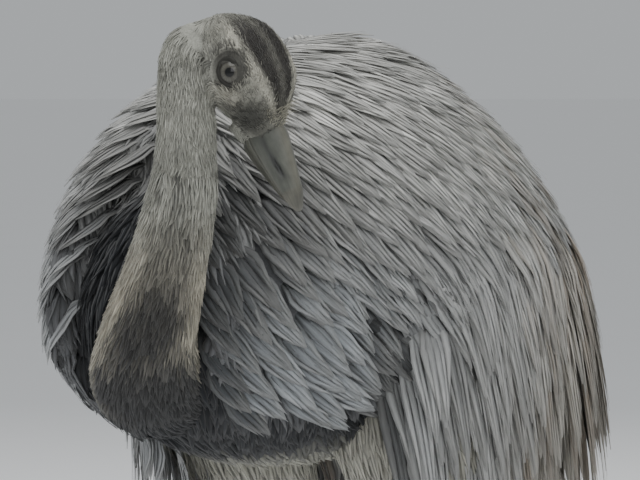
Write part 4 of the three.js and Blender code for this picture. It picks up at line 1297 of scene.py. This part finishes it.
for isUpper, name in ((True, "bill_upper"), (False, "bill_lower")):
    h, s, angle, tint = billForm(isUpper)
    points, faces = ringForm(fromHead(h))
    uv = stacked(angle / fullTurn, s).reshape(-1, 2)
    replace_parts(makePiece(name + "_horn", points, faces, billHorn, "bill_horn", tint.reshape(-1, 3), uv), name)
print("bill made")


def eyePiece(side, word):  # pale iris, dark rim and pupil
    theta = np.concatenate([np.linspace(0.002, 0.75, 60), np.linspace(0.78, math.pi - 0.01, 30)])
    theta, phi = roundGrid(theta, 72)
    bulge = 0.5 * np.maximum(0, 1 - (theta / 0.62) ** 2) ** 1.5
    r = eyeSizes["ball"] + bulge
    ahead, aside = eyeAxes(side)[0] * np.cos(theta)[..., None], aroundEye(side, phi) * np.sin(theta)[..., None]
    h = eyeCentre(side) + (ahead + aside) * r[..., None]
    ring = np.sin(theta) * eyeSizes["ball"]
    pupil, iris = eyeSizes["pupil"], eyeSizes["iris"]
    tint = painted(h, "54524b", ("403e38", 1 - smooth(pupil, pupil + 1.8, ring)),
                   ("35332e", smooth(6.8, 8.6, ring)), ("080808", 1 - smooth(pupil - 0.25, pupil + 0.25, ring)),
                   ("191714", smooth(iris - 0.7, iris + 0.3, ring) + (theta > 1.2)))
    uv = stacked(phi / fullTurn, theta / math.pi).reshape(-1, 2)
    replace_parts(makePiece(f"eyeball_{word}", *ringForm(fromHead(h)), eyeWet, "eye", tint.reshape(-1, 3), uv),
                f"eye_{word}")


def lidPiece(side, word):  # upper and lower lid as thick soft rims, with two folds outside them
    phi, ring = roundGrid(np.linspace(0, fullTurn, 120, endpoint=False), 14)
    out, corner, upper = eyeAxes(side)
    forms, tints = [], []
    up = smooth(-0.3, 0.7, np.sin(phi))  # 1 on the upper lid
    for reach, tube, sunk, hexColour in ((10.5, 2.1, 0.0, "2f2e2a"), (13.9, 1.5, 1.2, "3c3a35"),
                                         (16.8, 1.3, 2.6, "4a4842")):
        rho = reach * (1 + 0.1 * np.abs(np.cos(phi)) ** 8 - 0.07 * up) + 0.22 * np.sin(phi * 9 + reach)
        thick = tube * (1 + 0.35 * up)
        high = np.sqrt((eyeSizes["ball"] + 0.3) ** 2 - np.minimum(rho, 12.5) ** 2) - sunk
        high, rho = high + thick * np.sin(ring) * 0.8, rho + thick * np.cos(ring)
        way = corner * np.cos(phi)[..., None] + upper * 0.94 * np.sin(phi)[..., None]
        h = (eyeCentre(side) + out * high[..., None] + way * rho[..., None]).reshape(-1, 3)
        a = np.arange(phi.size).reshape(phi.shape)
        b = np.roll(a, -1, 0)
        quads = stacked(a, np.roll(a, -1, 1), np.roll(b, -1, 1), b).reshape(-1, 4)
        forms.append((h, [quads if volumeOf(h - h.mean(0), quads) > 0 else quads[:, ::-1]]))
        tints.append(painted(h, hexColour))
    points, faceSets = joined(forms)
    makePiece(f"lids_{word}", fromHead(points), faceSets, lidSkin, "neck_feathers", np.concatenate(tints))


for side, word in bothSides:
    eyePiece(side, word)
    lidPiece(side, word)
print("eyes and lids made")

# Bristles: stiff hairs along the upper lid and over the base of the bill, set by Geometry Nodes
bristleSizes = {"lash": 8.0, "forehead": 11.0, "thick": 0.32, "lashes": 22, "foreheadRow": 2.6}


def bristleForm(length):  # tapers and bows over towards its own Y
    s, angle = roundGrid(6, 4)
    r = bristleSizes["thick"] * (1 - 0.85 * s)
    return ringForm(stacked(r * np.cos(angle), r * np.sin(angle) + length * 0.35 * s ** 2,
                            length * (s - 0.12 * s ** 2) - 0.8))


def bristlePiece():
    roots = []  # points, the ways the hairs point and bow, sizes
    for side in (1, -1):
        out = eyeAxes(side)[0]
        phi = np.linspace(0.35, math.pi - 0.35, bristleSizes["lashes"])
        around = aroundEye(side, phi)
        size = np.tile([1.0, 1.0, bristleSizes["lash"] / 10], (len(phi), 1))
        roots.append((eyeCentre(side) + out * 10.2 + around * 11.2, unit(around * 0.9 + out * 0.8), around, size))
    y, x = (v.ravel() for v in np.meshgrid(np.arange(-62, -44, bristleSizes["foreheadRow"]),
                                           np.arange(-17, 17.1, bristleSizes["foreheadRow"])))
    at, up = onSkin(stacked(x, y, 12.0) + chance.uniform(-1, 1, (len(x), 3)))
    flow = np.array([0, 1.0, 0]) - up * up[:, 1:2]
    way = unit(up * 0.55 + unit(flow) + chance.normal(0, 0.15, at.shape))
    size = stacked(1, 1, chance.uniform(0.5, 1.0, len(at)) * bristleSizes["forehead"] / 10)
    roots.append((at, way, up, size))
    found, faces = setAlong(*(np.concatenate(v) for v in zip(*roots)), bristleForm(10.0), 0.2, 5, bristleHorn)
    tint = np.where((np.abs(found[:, 1] - eyeSizes["y"]) < 22)[:, None], linear("22211f"), linear("a9a697"))
    makePiece("bristles", fromHead(found), faces, bristleHorn, "neck_feathers", tint, found[:, :2] / 20)


bristlePiece()
print("bristles set")

# Bare legs: small scales all round, broad scutes down the front made by Geometry Nodes
toeSizes = {"inner": (84, -30, 15), "middle": (122, 0, 18), "outer": (88, 30, 15)}
clawSizes = {"length": 20.0, "r": 8.0}


def shankRings(side, grow=0.0):
    share, angle = roundGrid(150, 40)
    here, base = shankLine(share)
    x, z = np.sin(angle), np.cos(angle)
    tendon = 1 + 0.05 * np.cos(2 * angle) * smooth(0.2, 0.4, share) * (1 - smooth(0.8, 1, share))
    p = legPlace(here, side)
    p[..., 0] += x * (base + grow) * 0.88 * tendon
    p[..., 1] += z * (base + grow)
    return p


def shankLine(share):
    top, hock, foot = np.array([91.5, 101, 409.5]), np.array(legSizes["hock"]), np.array(legSizes["toeRoot"])
    upper, lower = np.clip(share / 0.12, 0, 1)[..., None], np.clip((share - 0.12) / 0.88, 0, 1)[..., None]
    here = mix(mix(top, hock, upper), foot, lower)
    base = 13.5 + 9 * np.exp(-((share - 0.13) / 0.07) ** 2) + 5.5 * smooth(0.86, 1, share)
    return here, base


def onSole(z, high):  # a rounded section with a flat underside at z = 0
    return (np.maximum(z, -0.62) + 0.62) / 1.62 * high


def toeForm(name):
    length, _, r = toeSizes[name]
    s, angle = roundGrid(70, 36)
    full = np.sqrt(np.maximum(0.1, 1 - np.maximum(0, (s - 0.8) / 0.2) ** 2 * 0.75))
    pads = 1 + 0.07 * np.cos(s * math.pi * 5)
    wide = r * mix(1, 0.74, s) * full * pads
    high = mix(r * 2.05, r * 1.15, s ** 0.55) * (0.55 + 0.45 * full)
    return stacked(np.sin(angle) * wide, -s * length, onSole(np.cos(angle), high))


def clawForm(name):
    length = toeSizes[name][0]
    s, angle = roundGrid(26, 24)
    wide = clawSizes["r"] * mix(1, 0.16, s ** 1.3) * np.sqrt(np.maximum(0.05, 1 - smooth(0.85, 1.0, s)))
    high = clawSizes["r"] * mix(1.5, 0.22, s)
    return stacked(np.sin(angle) * wide, -length - 0.3 - s * clawSizes["length"],
                   onSole(np.cos(angle), high) * 1.1 + 2.2 * (1 - s) ** 2)


def footAt(side):
    return legPlace(np.array([86.0, 40.0, 0.0]), side)


def onFoot(p, name, side):
    way = 0 if name == "middle" else side * math.radians(toeSizes[name][1])
    turned = stacked(p[..., 0] * math.cos(way) - p[..., 1] * math.sin(way),
                     p[..., 0] * math.sin(way) + p[..., 1] * math.cos(way), p[..., 2])
    return turned + footAt(side) * (1, 1, 0) + (np.sign(way) * 12, 0, 0)


def heelForm(side):
    s, angle = roundGrid(24, 48)
    wide = mix(22.5, 18.0, s) * np.sqrt(1 - 0.3 * (1 - smooth(0, 0.22, s)) - 0.3 * smooth(0.6, 1, s))
    at = footAt(side)
    return stacked(at[0] + np.sin(angle) * wide, at[1] + np.cos(angle) * wide * 1.05, s * 40)


scuteSizes = {"shankStep": 9.6, "toeStep": 6.6, "halfWidth": 10.5, "thick": 2.0}


def scuteForm(curve):  # a rounded plate, bent over the leg or toe; its lower edge stands up a little
    s, angle = roundGrid(5, 16)
    rounded = lambda v: np.sign(v) * np.abs(v) ** 0.55
    full = np.cos((s - 0.15) * 0.5 * math.pi / 0.87) ** 0.6
    x = rounded(np.sin(angle)) * scuteSizes["halfWidth"] * full
    y = rounded(np.cos(angle)) * scuteSizes["shankStep"] * 0.54 * full
    return ringForm(stacked(x, y, -1.4 + s * (scuteSizes["thick"] + 1.4) - x ** 2 / (2 * curve) + 0.09 * y))


def shankScutes(side):
    share = np.arange(0.17, 0.985, scuteSizes["shankStep"] / 340)  # the shank is 340 mm long
    here, base = shankLine(share)
    p, below = legPlace(here, side), legPlace(shankLine(share + 0.01)[0], side)
    along, front = unit(below - p), np.array([0.12 * side, -1.0, 0.0])
    up = unit(front - along * (along @ front)[:, None])
    return p + up * (base - 0.9)[:, None], up, along, stacked(base / 14.0, 1, 1)


def toeScutes(name, side):
    length, _, r = toeSizes[name]
    s = np.arange(0.1, 0.97, scuteSizes["toeStep"] / length)
    top = toeForm(name)[:, 0]
    p, q = (onFoot(stacked(*(np.interp(at, np.linspace(0, 1, 70), top[:, i]) for i in range(3))), name, side)
            for at in (s, s + 0.02))
    along = unit(q - p)
    up = unit(np.array([0, 0, 1.0]) - along * along[:, 2:])
    return p - up * 1.0, up, along, stacked(r * mix(1, 0.74, s) / 14.5 * 1.05, 0.72, 0.9)


for side, word in bothSides:
    sets = [(shankScutes(side), 13.5)] + [(toeScutes(name, side), 15.0) for name in toeSizes]
    forms = [setAlong(*roots, scuteForm(curve), 0.05, 20 + number, scuteHorn)
             for number, (roots, curve) in enumerate(sets)]
    makePiece(f"scutes_{word}", *joined(forms), scuteHorn, "leg_scales")
print("scutes set")

for side, word in bothSides:
    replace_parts(makePiece(f"shank_skin_{word}", *ringForm(shankRings(side)), legScales, "leg_scales"),
                f"shank_{word}")
    for name in toeSizes:
        forms = [ringForm(onFoot(toeForm(name), name, side))]
        if name == "middle":
            forms.append(ringForm(heelForm(side)))
        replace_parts(makePiece(f"toe_skin_{name}_{word}", *joined(forms), legScales, "leg_scales"),
                    f"toe_{name}_{word}")
        h = clawForm(name)
        worn = smooth(-0.2, 0.8, (-h[..., 1] - toeSizes[name][0]) / 20)
        tint = painted(h, "4a463e", ("2c2925", worn)).reshape(-1, 3)
        uv = stacked(h[..., 0] / 20, h[..., 1] / 60).reshape(-1, 2)
        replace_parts(makePiece(f"claw_horn_{name}_{word}", *ringForm(onFoot(h, name, side)), clawHorn, "claw_horn",
                              tint, uv), f"claw_{name}_{word}")
print("legs and feet made")

# Stage
floorMaterial, floorTree, floorShader = newMaterial("matt studio paper", 0.9)
floorTone = spread(floorTree, noise(floorTree, inObject(floorTree), 3.0), 0.94, 0.96, 0.0, 1.0)
floorTree.links.new(floorTone, floorShader.inputs["Base Color"])
bpy.ops.mesh.primitive_plane_add(size=200, location=(0, 0, 0))
floor = bpy.context.object
floor.name = "floor"
floor.data.materials.append(floorMaterial)

world = bpy.data.worlds.new("studio")
bpy.context.scene.world = world
world.use_nodes = True
sky = world.node_tree.nodes["Background"].inputs
sky["Color"].default_value, sky["Strength"].default_value = rgba("e8ecef"), 0.55
for name, at, size, power in (("overhead", (0.6, -0.9, 3.6), 3.0, 75), ("front", (2.4, -3.6, 2.2), 2.5, 38),
                              ("back", (-1.5, 2.8, 2.6), 2.2, 30)):
    lamp = added(name, bpy.data.lights.new(name, "AREA"))
    lamp.data.size = size
    lamp.data.energy = power
    way = unit(np.array([0, 0, 0.7]) - np.array(at))
    right = unit(np.cross(way, (0, 0, 1)))
    lamp.matrix_world = aimed(right, np.cross(right, way), -way, at)
print("stage set")
